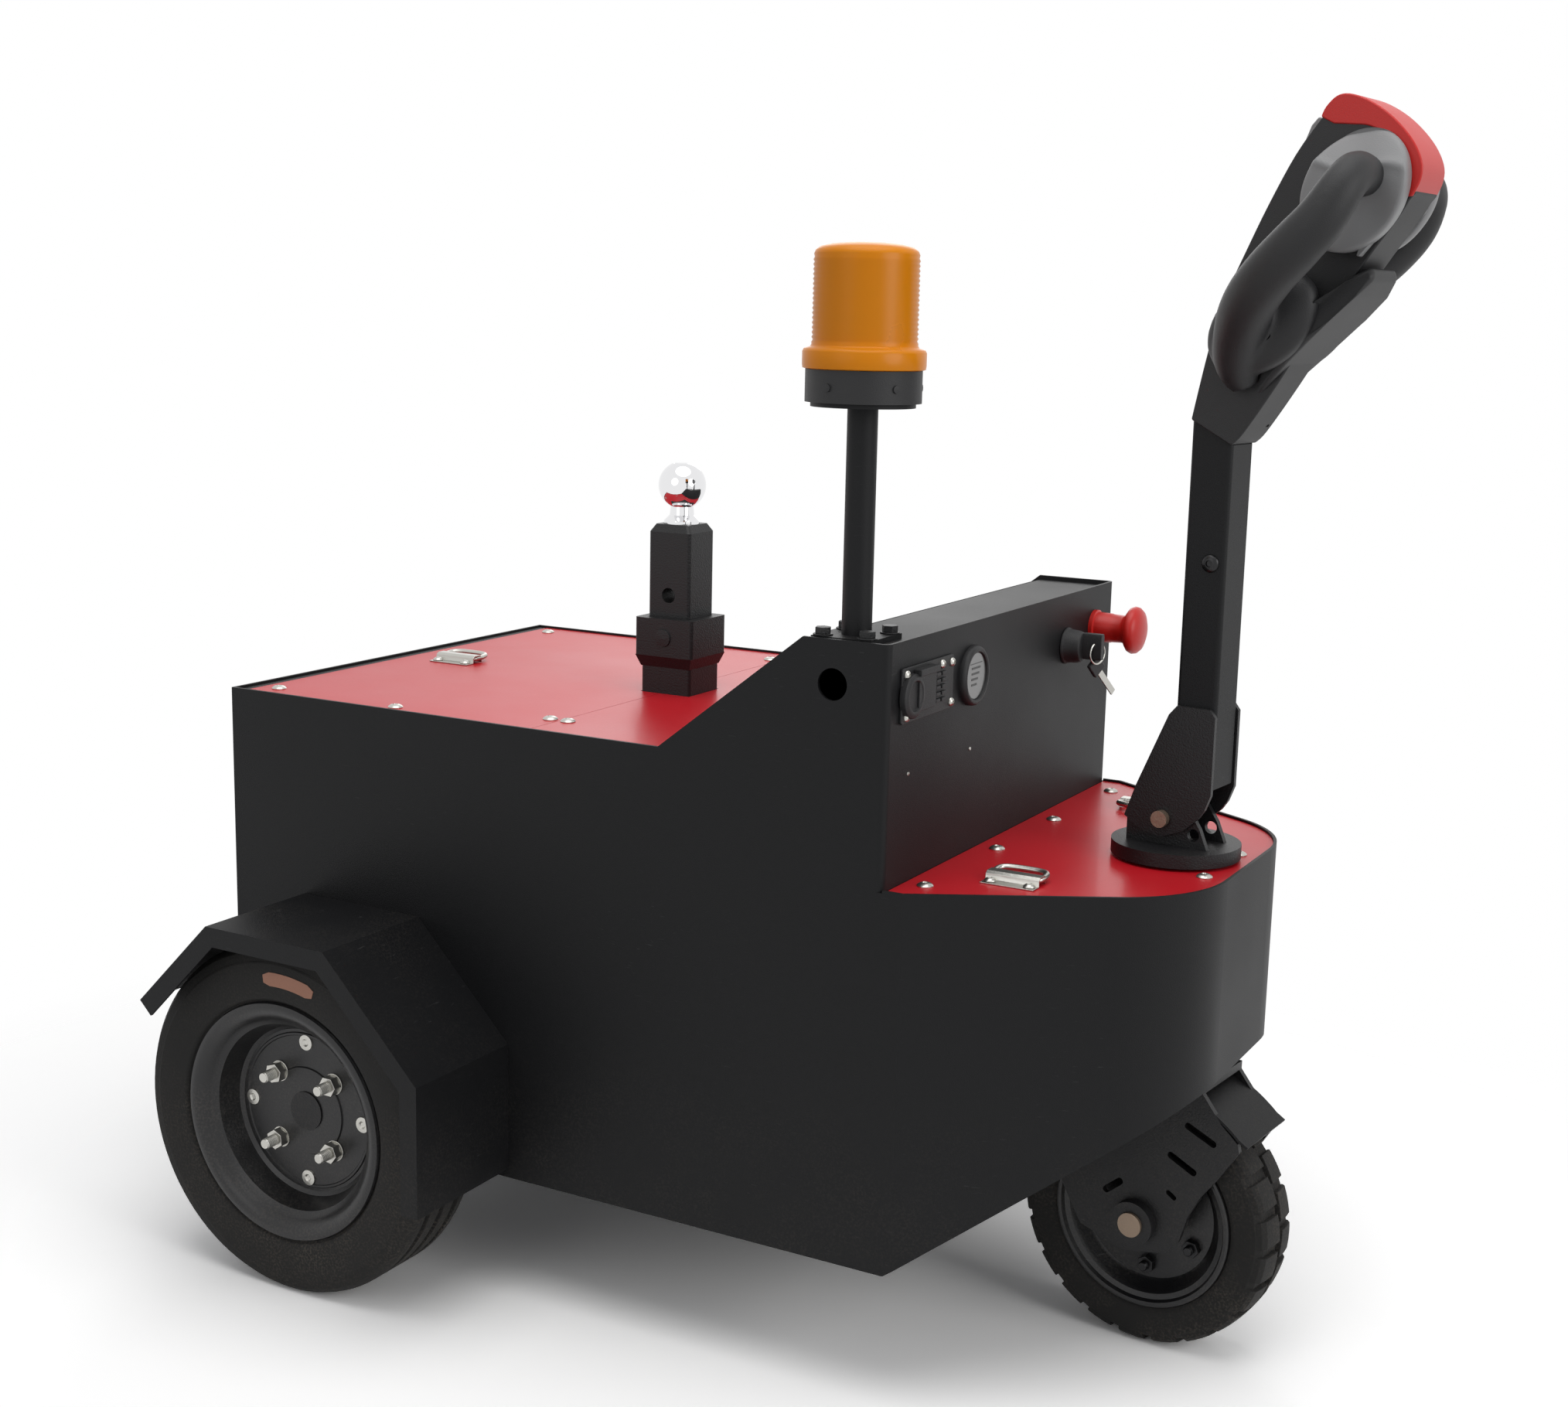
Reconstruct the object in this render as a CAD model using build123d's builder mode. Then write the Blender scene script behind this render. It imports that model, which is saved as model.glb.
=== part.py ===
from build123d import *
from math import cos, hypot, radians, sin, tan
import os

os.makedirs("parts", exist_ok=True)

# A walk-behind electric tow tractor with two driven rear wheels and one steered
# front wheel under a tiller. Millimetres. +X points to the tiller end, +Y to the
# left side, +Z up. The origin is on the floor, on the centre line, midway along
# the overall length.

# Body shell
body_width = 546
half_width = body_width / 2
sheet = 3
dash_x = 203
dash_depth = 85
dash_corner = 7
dash_flange = 12
slope_run = 150
rear_x = dash_x - 760
floor_z = 126
front_deck_z = 484
rear_deck_z = 585
dash_top_z = 705
deck_rim = 2.5
dash_recess = 4.5
rear_band = 10
deck_seam_x = dash_x - 387
inner_half = half_width - sheet

# Nose and the slanted cut over the front wheel
taper_x = dash_x + 20
nose_x = dash_x + 248
nose_half = 140
nose_radius = 125
keel_x = dash_x + 12
keel_slope = 0.708
deck_ledge = 12

# Rear wheels and their guards
rear_axle_x = dash_x - 602
rear_radius = 180
rear_tyre_width = 88
rear_outer_y = 386
guard_outer_y = 416
guard_lip = 20
rim_outer = 122
rim_inner = 96
dish_depth = 40
hub_disc = 8
axle_radius = 31
stub_radius = 16

# Front wheel, fork and steering. The steered pieces are drawn straight ahead and
# saved turned by the parked angle about the upright steering axis.
steer_x = dash_x + 175
parked_turn = -6
front_radius = 130
front_tyre_width = 66
fork_gap = 78
fork_plate = 6
crown_z = 273
crown_height = 8
shaft_radius = 25
steering_plate_z = 300
tiller_disc_radius = 61
tiller_disc_z = 487
tiller_disc_height = 13

# Tiller
pivot_x = dash_x + 172
pivot_z = 526
arm_width = 48
arm_depth = 40
arm_back_x = dash_x + 178
arm_front_x = arm_back_x + arm_depth
arm_foot_z = 558
arm_top_back_z = 897
arm_top_front_z = 875.5

# Hitch and beacon
hitch_x = dash_x - 381
socket_size = 60
hitch_bar_size = 50
ball_radius = 25
ball_z = 803
beacon_x = dash_x - 51
beacon_y = -236

sides = (("left", 1), ("right", -1))
running_play = 0.06


def save(piece, name):
    piece.part.label = name
    export_step(piece.part, f"parts/{name}.step")


def save_steered(piece, name):
    """Save a piece of the steered group, turned as the machine is parked."""
    turned = piece.part.rotate(Axis((steer_x, 0, 0), (0, 0, 1)), parked_turn)
    turned.label = name
    export_step(turned, f"parts/{name}.step")


def across(high_y):
    """An upright plane whose sketch is X across and Z up, extruded towards -Y."""
    return Plane.XZ.offset(-high_y)


def slab(points, low_y, high_y, mode=Mode.ADD):
    """A closed outline in X and Z, extruded between two Y values."""
    with BuildSketch(across(high_y)) as profile:
        with BuildLine():
            Polyline(*points, close=True)
        make_face()
    extrude(profile.sketch, amount=high_y - low_y, mode=mode)


def block(low, high, mode=Mode.ADD):
    """An axis-aligned block given by its lowest and highest corners."""
    centre = tuple((a + b) / 2 for a, b in zip(low, high))
    with Locations(centre):
        Box(*[b - a for a, b in zip(low, high)], mode=mode)


def disc_y(x, z, radius, low_y, high_y, mode=Mode.ADD):
    """A cylinder along Y between two Y values."""
    with BuildSketch(across(high_y)) as profile:
        with Locations((x, z)):
            Circle(radius)
    extrude(profile.sketch, amount=high_y - low_y, mode=mode)


def disc_x(y, z, radius, low_x, high_x, mode=Mode.ADD):
    """A cylinder along X between two X values."""
    with BuildSketch(Plane.YZ.offset(low_x)) as profile:
        with Locations((y, z)):
            Circle(radius)
    extrude(profile.sketch, amount=high_x - low_x, mode=mode)


def disc_z(x, y, radius, low_z, high_z, mode=Mode.ADD):
    """An upright cylinder between two heights."""
    with BuildSketch(Plane.XY.offset(low_z)) as profile:
        with Locations((x, y)):
            Circle(radius)
    extrude(profile.sketch, amount=high_z - low_z, mode=mode)


def keel_z(x):
    """Height of the slanted lower edge of the nose at a station along X."""
    return floor_z + (x - keel_x) * keel_slope


def nose_outline():
    """The tapered nose in plan, rounded at its two front corners."""
    with BuildLine() as edge:
        Polyline(
            (dash_x - 100, -half_width),
            (taper_x, -half_width),
            (nose_x, -nose_half),
            (nose_x, nose_half),
            (taper_x, half_width),
            (dash_x - 100, half_width),
            close=True,
        )
    make_face(edge.edges())
    corners = [v for v in vertices() if abs(v.X - nose_x) < 0.1]
    fillet(corners, nose_radius)


def between(low_y, high_y, side):
    """Two Y values measured outwards from the centre line, on one side."""
    return sorted((low_y * side, high_y * side))


# Side panels, each cut to the stepped outline, with a round port near the dash
slope_foot_x = dash_x - dash_depth - slope_run
side_outline = (
    (rear_x + sheet, floor_z),
    (keel_x, floor_z),
    (taper_x, keel_z(taper_x)),
    (taper_x, front_deck_z + deck_rim),
    (dash_x, front_deck_z + deck_rim),
    (dash_x, front_deck_z),
    (dash_x - dash_flange, front_deck_z),
    (dash_x - dash_flange, dash_top_z),
    (dash_x - dash_depth, dash_top_z),
    (slope_foot_x, rear_deck_z + deck_rim),
    (rear_x + sheet, rear_deck_z + deck_rim),
)
port_x = dash_x - 54.6
port_z = 665
port_radius = 14.5
for side, sign in sides:
    low, high = between(inner_half, half_width, sign)
    with BuildPart() as side_panel:
        slab(side_outline, low, high)
        disc_y(port_x, port_z, port_radius, low, high, Mode.SUBTRACT)
        disc_y(rear_axle_x, rear_radius, axle_radius + 1, low, high, Mode.SUBTRACT)
    save(side_panel, f"side_panel_{side}")

# Rear panel with a narrow band bent forward over the deck's rear edge
with BuildPart() as rear_panel:
    block((rear_x, -half_width, floor_z), (rear_x + sheet, half_width, rear_deck_z + deck_rim))
    band_end = rear_x + sheet + rear_band
    block((rear_x + sheet, -inner_half, rear_deck_z - sheet), (band_end, inner_half, rear_deck_z))
save(rear_panel, "rear_panel")

# Nose shell, bent round the front, with a ledge inside that carries the front deck
ledge_z = front_deck_z - 2 * sheet
with BuildPart() as nose_shell:
    with BuildSketch(Plane.XY.offset(floor_z)):
        nose_outline()
        offset(amount=-sheet, mode=Mode.SUBTRACT)
    extrude(amount=front_deck_z + deck_rim - floor_z)
    with BuildSketch(Plane.XY.offset(ledge_z)):
        nose_outline()
        offset(amount=-sheet - deck_ledge, mode=Mode.SUBTRACT)
    extrude(amount=sheet)
    block((dash_x - 101, -half_width, floor_z - 1), (taper_x, half_width, dash_top_z), Mode.SUBTRACT)
    slab(
        (
            (dash_x, keel_z(dash_x)),
            (nose_x + 10, keel_z(nose_x + 10)),
            (nose_x + 10, 0),
            (dash_x, 0),
        ),
        -half_width,
        half_width,
        Mode.SUBTRACT,
    )
save(nose_shell, "nose_shell")

# Instrument box: its face is a shallow channel with rounded upright corners
with BuildPart() as dash_face:
    with BuildSketch(Plane.XY.offset(front_deck_z)):
        with BuildLine():
            Polyline(
                (dash_x - 60, -half_width),
                (dash_x, -half_width),
                (dash_x, half_width),
                (dash_x - 60, half_width),
                close=True,
            )
        make_face()
        fillet([v for v in vertices() if abs(v.X - dash_x) < 0.1], dash_corner)
        offset(amount=-sheet, mode=Mode.SUBTRACT)
    extrude(amount=dash_top_z - front_deck_z)
    block(
        (dash_x - 61, -half_width, front_deck_z - 1),
        (dash_x - dash_flange, half_width, dash_top_z + 1),
        Mode.SUBTRACT,
    )
save(dash_face, "dash_face")

dash_plate_z = dash_top_z - dash_recess
slope_gap = 2
with BuildPart() as dash_top:
    block(
        (dash_x - dash_depth + slope_gap, -inner_half, dash_plate_z - sheet),
        (dash_x - sheet, inner_half, dash_plate_z),
    )
    front_edges = edges().filter_by(Axis.Z).group_by(Axis.X)[-1]
    fillet(front_edges, dash_corner - sheet + 0.3)
save(dash_top, "dash_top")

# Sloping panel from the instrument box down to the rear deck
slope_rise = dash_plate_z - (rear_deck_z - sheet)
slope_length = hypot(slope_run, slope_rise)
slope_in_x = sheet * slope_rise / slope_length
slope_in_z = sheet * slope_run / slope_length
with BuildPart() as dash_slope:
    slab(
        (
            (dash_x - dash_depth, dash_plate_z),
            (slope_foot_x, rear_deck_z - sheet),
            (slope_foot_x + slope_in_x, rear_deck_z - sheet - slope_in_z),
            (dash_x - dash_depth + slope_in_x, dash_plate_z - slope_in_z),
        ),
        -inner_half,
        inner_half,
    )
save(dash_slope, "dash_slope")

# Deck panels of the rear load deck, parted at the hitch
seam = 0.6
socket_clear = 0.3
rear_panels = (
    ("rear_deck_panel", band_end, deck_seam_x - seam / 2),
    ("middle_deck_panel", deck_seam_x + seam / 2, slope_foot_x),
)
for name, start_x, end_x in rear_panels:
    with BuildPart() as deck_panel:
        block((start_x, -inner_half, rear_deck_z - sheet), (end_x, inner_half, rear_deck_z))
        half_cut = socket_size / 2 + socket_clear
        block(
            (hitch_x - half_cut, -half_cut, rear_deck_z - sheet - 1),
            (hitch_x + half_cut, half_cut, rear_deck_z + 1),
            Mode.SUBTRACT,
        )
    save(deck_panel, name)

# Front deck panel inside the nose, pierced for the steering shaft
panel_gap = 0.4
shaft_clear = 7
with BuildPart() as front_deck:
    with BuildSketch(Plane.XY.offset(front_deck_z - sheet)):
        nose_outline()
        offset(amount=-sheet - panel_gap)
    extrude(amount=sheet)
    block((dash_x - 101, -half_width, 0), (dash_x + 0.5, half_width, dash_top_z), Mode.SUBTRACT)
    disc_z(steer_x, 0, shaft_radius + shaft_clear, front_deck_z - sheet, front_deck_z, Mode.SUBTRACT)
save(front_deck, "front_deck_panel")

# Floor pan, turned up in front as the bulkhead behind the front wheel
with BuildPart() as floor_pan:
    block((rear_x + sheet, -inner_half, floor_z), (keel_x - sheet, inner_half, floor_z + sheet))
    block((keel_x - sheet, -inner_half, floor_z), (keel_x, inner_half, front_deck_z - sheet))
save(floor_pan, "floor_pan")

# Plate and bearing boss that carry the steering shaft over the front wheel
bearing_play = 0.08
boss_radius = 45
boss_drop = 15
with BuildPart() as steering_plate:
    with BuildSketch(Plane.XY.offset(steering_plate_z)):
        nose_outline()
        offset(amount=-sheet - panel_gap)
    extrude(amount=2 * sheet)
    block((dash_x - 101, -half_width, 0), (keel_x, half_width, dash_top_z), Mode.SUBTRACT)
    disc_z(steer_x, 0, boss_radius, steering_plate_z - boss_drop, steering_plate_z)
    disc_z(
        steer_x,
        0,
        shaft_radius + bearing_play,
        steering_plate_z - boss_drop,
        steering_plate_z + 2 * sheet,
        Mode.SUBTRACT,
    )
save(steering_plate, "steering_plate")

# The battery pack stands on the floor pan between the axle and the bulkhead
battery_start_x = dash_x - 350
battery_end_x = dash_x - 40
battery_half = 235
battery_top_z = 415
with BuildPart() as battery_block:
    block(
        (battery_start_x, -battery_half, floor_z + sheet),
        (battery_end_x, battery_half, battery_top_z),
    )
save(battery_block, "battery_block")

# Drive axle: tube across the body with the motor and gear block at its middle
axle_tube_end = 322
gear_half_length = 85
gear_half_width = 110
gear_top_z = 300
bore_start = 150
axle_bore = stub_radius + running_play
with BuildPart() as drive_axle:
    disc_y(rear_axle_x, rear_radius, axle_radius, -axle_tube_end, axle_tube_end)
    block(
        (rear_axle_x - gear_half_length, -gear_half_width, floor_z + sheet),
        (rear_axle_x + gear_half_length, gear_half_width, gear_top_z),
    )
    for side, sign in sides:
        low, high = between(bore_start, axle_tube_end, sign)
        disc_y(rear_axle_x, rear_radius, axle_bore, low, high, Mode.SUBTRACT)
save(drive_axle, "drive_axle")

# Wheel guards folded from sheet, open below and behind, with a lip turned in
guard_outline = (
    (dash_x - 758, 288),
    (dash_x - 666, 380),
    (dash_x - 517, 379),
    (dash_x - 406, 266),
    (dash_x - 406, 135),
)


def inset_outline(points, distance):
    """The same open outline, moved in towards the wheel by a distance."""
    normals = []
    for (x0, z0), (x1, z1) in zip(points, points[1:]):
        length = hypot(x1 - x0, z1 - z0)
        normals.append(((z1 - z0) / length, -(x1 - x0) / length))
    moved = [(points[0][0] + distance * normals[0][0], points[0][1] + distance * normals[0][1])]
    for (x, z), a, b in zip(points[1:-1], normals, normals[1:]):
        share = distance / (1 + a[0] * b[0] + a[1] * b[1])
        moved.append((x + share * (a[0] + b[0]), z + share * (a[1] + b[1])))
    x, z = points[-1]
    moved.append((x + distance * normals[-1][0], z + distance * normals[-1][1]))
    return tuple(moved)


for side, sign in sides:
    with BuildPart() as wheel_guard:
        plate = guard_outline + inset_outline(guard_outline, sheet)[::-1]
        slab(plate, *between(half_width, guard_outer_y, sign))
        lip = guard_outline + inset_outline(guard_outline, guard_lip)[::-1]
        slab(lip, *between(guard_outer_y - sheet, guard_outer_y, sign))
    save(wheel_guard, f"wheel_guard_{side}")

# Rear wheels: solid tyre, dished rim with four studs and their nuts, and a hub
rear_inner_y = rear_outer_y - rear_tyre_width
disc_out = rear_outer_y - dish_depth
disc_in = disc_out - hub_disc
tyre_shoulder = 14
sidewall_step = 3
stud_circle = 50
stud_radius = 6
stud_length = 26
nut_across = 11
nut_height = 12
hub_flange = 9
hub_flange_radius = 62
hub_cap_radius = 20
hub_bore = 20
for side, sign in sides:
    with BuildPart() as rear_tyre:
        with BuildSketch(Plane.YZ.offset(rear_axle_x)):
            with BuildLine():
                Polyline(
                    (sign * rear_inner_y, rear_radius + rim_outer),
                    (sign * rear_inner_y, 2 * rear_radius - tyre_shoulder),
                    (sign * (rear_inner_y + 10), 2 * rear_radius),
                    (sign * (rear_outer_y - 10), 2 * rear_radius),
                    (sign * rear_outer_y, 2 * rear_radius - tyre_shoulder),
                    (sign * rear_outer_y, rear_radius + rim_outer + 12),
                    (sign * (rear_outer_y - sidewall_step), rear_radius + rim_outer),
                    close=True,
                )
            make_face()
        revolve(axis=Axis((rear_axle_x, 0, rear_radius), (0, 1, 0)), revolution_arc=360)
    save(rear_tyre, f"rear_tyre_{side}")

    with BuildPart() as rear_rim:
        with BuildSketch(Plane.YZ.offset(rear_axle_x)):
            with BuildLine():
                Polyline(
                    (sign * disc_in, rear_radius + hub_bore),
                    (sign * disc_in, rear_radius + rim_inner),
                    (sign * rear_inner_y, rear_radius + rim_outer - 12),
                    (sign * rear_inner_y, rear_radius + rim_outer),
                    (sign * (rear_outer_y - sidewall_step), rear_radius + rim_outer),
                    (sign * rear_outer_y, rear_radius + rim_outer - 5),
                    (sign * (rear_outer_y - 2), rear_radius + rim_inner + 8),
                    (sign * (rear_outer_y - 12), rear_radius + rim_inner + 2),
                    (sign * disc_out, rear_radius + rim_inner - 4),
                    (sign * disc_out, rear_radius + hub_bore),
                    close=True,
                )
            make_face()
        revolve(axis=Axis((rear_axle_x, 0, rear_radius), (0, 1, 0)), revolution_arc=360)
        stud_low, stud_high = between(disc_out, disc_out + stud_length, sign)
        nut_low, nut_high = between(disc_out, disc_out + nut_height, sign)
        for turn in (45, 135, 225, 315):
            x = rear_axle_x + stud_circle * cos(radians(turn))
            z = rear_radius + stud_circle * sin(radians(turn))
            disc_y(x, z, stud_radius, stud_low, stud_high)
            with BuildSketch(across(nut_high)) as nut:
                with Locations((x, z)):
                    RegularPolygon(nut_across, 6)
            extrude(nut.sketch, amount=nut_high - nut_low)
    save(rear_rim, f"rear_rim_{side}")

    # Hub: shaft in the axle tube, flange behind the disc and cap through its middle
    flange_in = disc_in - hub_flange
    with BuildPart() as rear_hub:
        shaft_low, shaft_high = between(290, flange_in, sign)
        disc_y(rear_axle_x, rear_radius, stub_radius, shaft_low, shaft_high)
        disc_y(rear_axle_x, rear_radius, hub_flange_radius, *between(flange_in, disc_in, sign))
        disc_y(rear_axle_x, rear_radius, hub_cap_radius, *between(disc_in, disc_out + 3, sign))
    save(rear_hub, f"rear_hub_{side}")

# Front wheel
front_half = front_tyre_width / 2
front_rim_outer = 92
front_rim_inner = 76
front_disc = 12
with BuildPart() as front_tyre:
    with BuildSketch(Plane.YZ.offset(steer_x)):
        with BuildLine():
            Polyline(
                (-front_half, front_radius + front_rim_outer),
                (-front_half, 2 * front_radius - 10),
                (-front_half + 8, 2 * front_radius - 2),
                (0, 2 * front_radius),
                (front_half - 8, 2 * front_radius - 2),
                (front_half, 2 * front_radius - 10),
                (front_half, front_radius + front_rim_outer),
                close=True,
            )
        make_face()
    revolve(axis=Axis((steer_x, 0, front_radius), (0, 1, 0)), revolution_arc=360)
save_steered(front_tyre, "front_tyre")

# Front rim with six bolts on each face of its disc
front_axle_radius = 12
bolt_circle = 54
bolt_radius = 7
bolt_height = 12
with BuildPart() as front_rim:
    with BuildSketch(Plane.YZ.offset(steer_x)):
        with BuildLine():
            Polyline(
                (-front_half, front_radius + front_rim_outer),
                (-front_half + 1, front_radius + front_rim_inner + 6),
                (-front_disc, front_radius + front_rim_inner - 4),
                (-front_disc, front_radius + 34),
                (-front_half, front_radius + 30),
                (-front_half, front_radius + front_axle_radius + running_play),
                (front_half, front_radius + front_axle_radius + running_play),
                (front_half, front_radius + 30),
                (front_disc, front_radius + 34),
                (front_disc, front_radius + front_rim_inner - 4),
                (front_half - 1, front_radius + front_rim_inner + 6),
                (front_half, front_radius + front_rim_outer),
                close=True,
            )
        make_face()
    revolve(axis=Axis((steer_x, 0, front_radius), (0, 1, 0)), revolution_arc=360)
    for low, high in ((-front_disc - bolt_height, -front_disc), (front_disc, front_disc + bolt_height)):
        for step in range(6):
            turn = radians(30 + 60 * step)
            x = steer_x + bolt_circle * cos(turn)
            z = front_radius + bolt_circle * sin(turn)
            disc_y(x, z, bolt_radius, low, high)
save_steered(front_rim, "front_rim")

# Front axle with its two end caps outside the fork plates
fork_inner = fork_gap / 2
fork_outer = fork_inner + fork_plate
axle_end = 58
with BuildPart() as front_axle:
    disc_y(steer_x, front_radius, front_axle_radius, -axle_end, axle_end)
save_steered(front_axle, "front_axle")

# Fork: crown under the steering plate and two broad cheek plates with slots
crown_back_x = steer_x - 66
crown_front_x = steer_x + 62
fork_outline = (
    (crown_back_x, crown_z),
    (steer_x - 80, 150),
    (steer_x - 58, 112),
    (steer_x - 10, 97),
    (steer_x + 34, 106),
    (steer_x + 46, 121),
    (steer_x + 54, 149),
    (steer_x + 65, 171),
    (steer_x + 82, 194),
    (steer_x + 101, 225),
    (steer_x + 99, 233),
    (steer_x + 82, 248),
    (crown_front_x, crown_z),
)
fork_slots = (
    # centre x, centre z, length, width, tilt in degrees
    (62, 233, 35, 7, -24),
    (45, 200, 33, 7, -26),
    (36, 166, 12, 5, -34),
    (-25, 160, 25, 7, 40),
)
collar_radius = 22
collar_inset = 3
with BuildPart() as fork:
    for side, sign in sides:
        slab(fork_outline, *between(fork_inner, fork_outer, sign))
        low, high = between(fork_outer, axle_end - collar_inset, sign)
        disc_y(steer_x, front_radius, collar_radius, low, high)
    disc_z(steer_x, 0, tiller_disc_radius, crown_z, crown_z + crown_height)
    block(
        (crown_back_x, -fork_outer, crown_z),
        (crown_front_x, fork_outer, crown_z + crown_height),
    )
    disc_y(steer_x, front_radius, front_axle_radius, -axle_end, axle_end, Mode.SUBTRACT)
    for x, z, length, width, tilt in fork_slots:
        with BuildSketch(across(fork_outer)):
            with Locations(Location((steer_x + x, z), tilt)):
                SlotOverall(length, width)
        extrude(amount=2 * fork_outer, mode=Mode.SUBTRACT)
save_steered(fork, "fork")

# Mudguard over the front of the wheel, as wide as the fork, with a small end lip
mudguard_radius = 147
mudguard_sheet = 2.5
lip_turn = 47
lip_run = 9
lip_drop = 5.5
with BuildPart() as mudguard:
    tip_x = steer_x + mudguard_radius * cos(radians(lip_turn))
    tip_z = front_radius + mudguard_radius * sin(radians(lip_turn))
    with BuildSketch(across(fork_outer)):
        with Locations((steer_x, front_radius)):
            Circle(mudguard_radius)
            Circle(mudguard_radius - mudguard_sheet, mode=Mode.SUBTRACT)
        with BuildLine():
            Polyline(
                (steer_x, front_radius),
                (steer_x, crown_z),
                (tip_x + crown_z - tip_z, crown_z),
                (tip_x, tip_z),
                close=True,
            )
        make_face(mode=Mode.INTERSECT)
    extrude(amount=2 * fork_outer)
    slab(
        (
            (tip_x, tip_z),
            (tip_x + lip_run, tip_z - lip_drop),
            (tip_x + lip_run - 1.3, tip_z - lip_drop - 2),
            (tip_x - 1.8, tip_z - 1.8),
        ),
        -fork_outer,
        fork_outer,
    )
    for side, sign in sides:
        low, high = between(fork_inner, fork_outer + 1, sign)
        slab(fork_outline, low, high, Mode.SUBTRACT)
save_steered(mudguard, "front_mudguard")

with BuildPart() as steering_shaft:
    disc_z(steer_x, 0, shaft_radius, crown_z + crown_height, tiller_disc_z)
save_steered(steering_shaft, "steering_shaft")

# Turntable disc with two ears that hold the tiller's pivot bolt
disc_top = tiller_disc_z + tiller_disc_height
ear_inner = 17
ear_outer = 23
pin_radius = 8
ear_outline = (
    (pivot_x - 38, disc_top),
    (pivot_x - 38, pivot_z - 2),
    (pivot_x - 20, pivot_z + 17),
    (pivot_x + 6, pivot_z + 19),
    (pivot_x + 26, pivot_z + 8),
    (pivot_x + 36, pivot_z - 7),
    (pivot_x + 44, disc_top),
)
ear_hole_x = pivot_x + 30
ear_hole_z = pivot_z - 13
ear_hole_radius = 6
with BuildPart() as tiller_base:
    disc_z(steer_x, 0, tiller_disc_radius, tiller_disc_z, disc_top)
    for side, sign in sides:
        low, high = between(ear_inner, ear_outer, sign)
        slab(ear_outline, low, high)
        disc_y(pivot_x, pivot_z, pin_radius, low, high, Mode.SUBTRACT)
        disc_y(ear_hole_x, ear_hole_z, ear_hole_radius, low, high, Mode.SUBTRACT)
save_steered(tiller_base, "tiller_base")

cheek_inner = arm_width / 2
cheek_outer = cheek_inner + 5
pin_end = cheek_outer + 7
with BuildPart() as pivot_pin:
    disc_y(pivot_x, pivot_z, pin_radius, -pin_end, pin_end)
save_steered(pivot_pin, "pivot_pin")

# Tiller bracket: two cheek plates joined by a web behind the arm
cheek_outline = (
    (arm_back_x - 4.5, 625),
    (arm_back_x + 3, 634),
    (arm_back_x + 36, 634),
    (arm_front_x + 1.5, 627),
    (arm_front_x + 1.5, 554),
    (pivot_x + 42, pivot_z + 13),
    (pivot_x + 36, pivot_z + 4),
    (pivot_x + 22, pivot_z - 9),
    (pivot_x, pivot_z - 18),
    (pivot_x - 18, pivot_z - 15),
    (pivot_x - 38.5, pivot_z - 2.5),
    (pivot_x - 28, pivot_z + 28),
)
web_outline = (
    (arm_back_x - 5.7, 622),
    (arm_back_x, 622),
    (arm_back_x, 612),
    (pivot_x - 21, 556),
    (pivot_x - 27, 556),
)
with BuildPart() as bracket:
    for side, sign in sides:
        low, high = between(cheek_inner, cheek_outer, sign)
        slab(cheek_outline, low, high)
        disc_y(pivot_x, pivot_z, pin_radius + running_play, low, high, Mode.SUBTRACT)
    slab(web_outline, -cheek_inner, cheek_inner)
save_steered(bracket, "tiller_bracket")

# Tiller arm: a rectangular tube, cut aslant where the head sits on it
arm_wall = 3
with BuildPart() as tiller_arm:
    block(
        (arm_back_x, -arm_width / 2, arm_foot_z),
        (arm_front_x, arm_width / 2, arm_top_back_z),
    )
    fillet(edges().filter_by(Axis.Z), 4)
    block(
        (arm_back_x + arm_wall, -arm_width / 2 + arm_wall, arm_foot_z - 1),
        (arm_front_x - arm_wall, arm_width / 2 - arm_wall, arm_top_back_z + 1),
        Mode.SUBTRACT,
    )
    slab(
        (
            (arm_back_x, arm_top_back_z),
            (arm_front_x, arm_top_front_z),
            (arm_front_x, arm_top_back_z + 5),
            (arm_back_x, arm_top_back_z + 5),
        ),
        -arm_width,
        arm_width,
        Mode.SUBTRACT,
    )
save_steered(tiller_arm, "tiller_arm")

# Tiller head: a leaning housing over the arm, outlined from its back to its front.
# Its last points up to the cap are shared with the stop pad.
head_half = 28
under_cap = (
    (dash_x + 281, 1157),
    (dash_x + 302, 1150),
    (dash_x + 334, 1126),
    (dash_x + 351, 1091),
)
head_outline = (
    (arm_back_x, arm_top_back_z),
    (dash_x + 184, 926),
    (dash_x + 190, 955),
    (dash_x + 197, 985),
    (dash_x + 207, 1014),
    (dash_x + 221, 1046),
    (dash_x + 239, 1085),
    (dash_x + 261, 1127),
    *under_cap,
    (dash_x + 363, 1091),
    (dash_x + 353, 1071),
    (dash_x + 338, 1050),
    (dash_x + 321, 1024),
    (dash_x + 297, 991),
    (dash_x + 277, 962),
    (dash_x + 258, 931),
    (dash_x + 240, 903),
    (arm_front_x, arm_top_front_z),
)
with BuildPart() as tiller_head:
    slab(head_outline, -head_half, head_half)
save_steered(tiller_head, "tiller_head")

# Red stop pad over the top and front of the head
cap_outline = (
    (dash_x + 296, 1173),
    (dash_x + 303, 1177),
    (dash_x + 318, 1171),
    (dash_x + 335, 1160),
    (dash_x + 352, 1146),
    (dash_x + 370, 1127),
    (dash_x + 374, 1115),
    (dash_x + 366, 1091),
    *under_cap[::-1],
)
with BuildPart() as stop_pad:
    slab(cap_outline, -head_half, head_half)
save_steered(stop_pad, "stop_pad")

# Thumb throttles: an oval disc on a neck at each side of the head
throttle_x = dash_x + 327
throttle_z = 1093
throttle_tilt = 62
throttle_in = 42
throttle_out = 62
throttle_long = 54
throttle_short = 40
neck_share = 0.6


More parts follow.
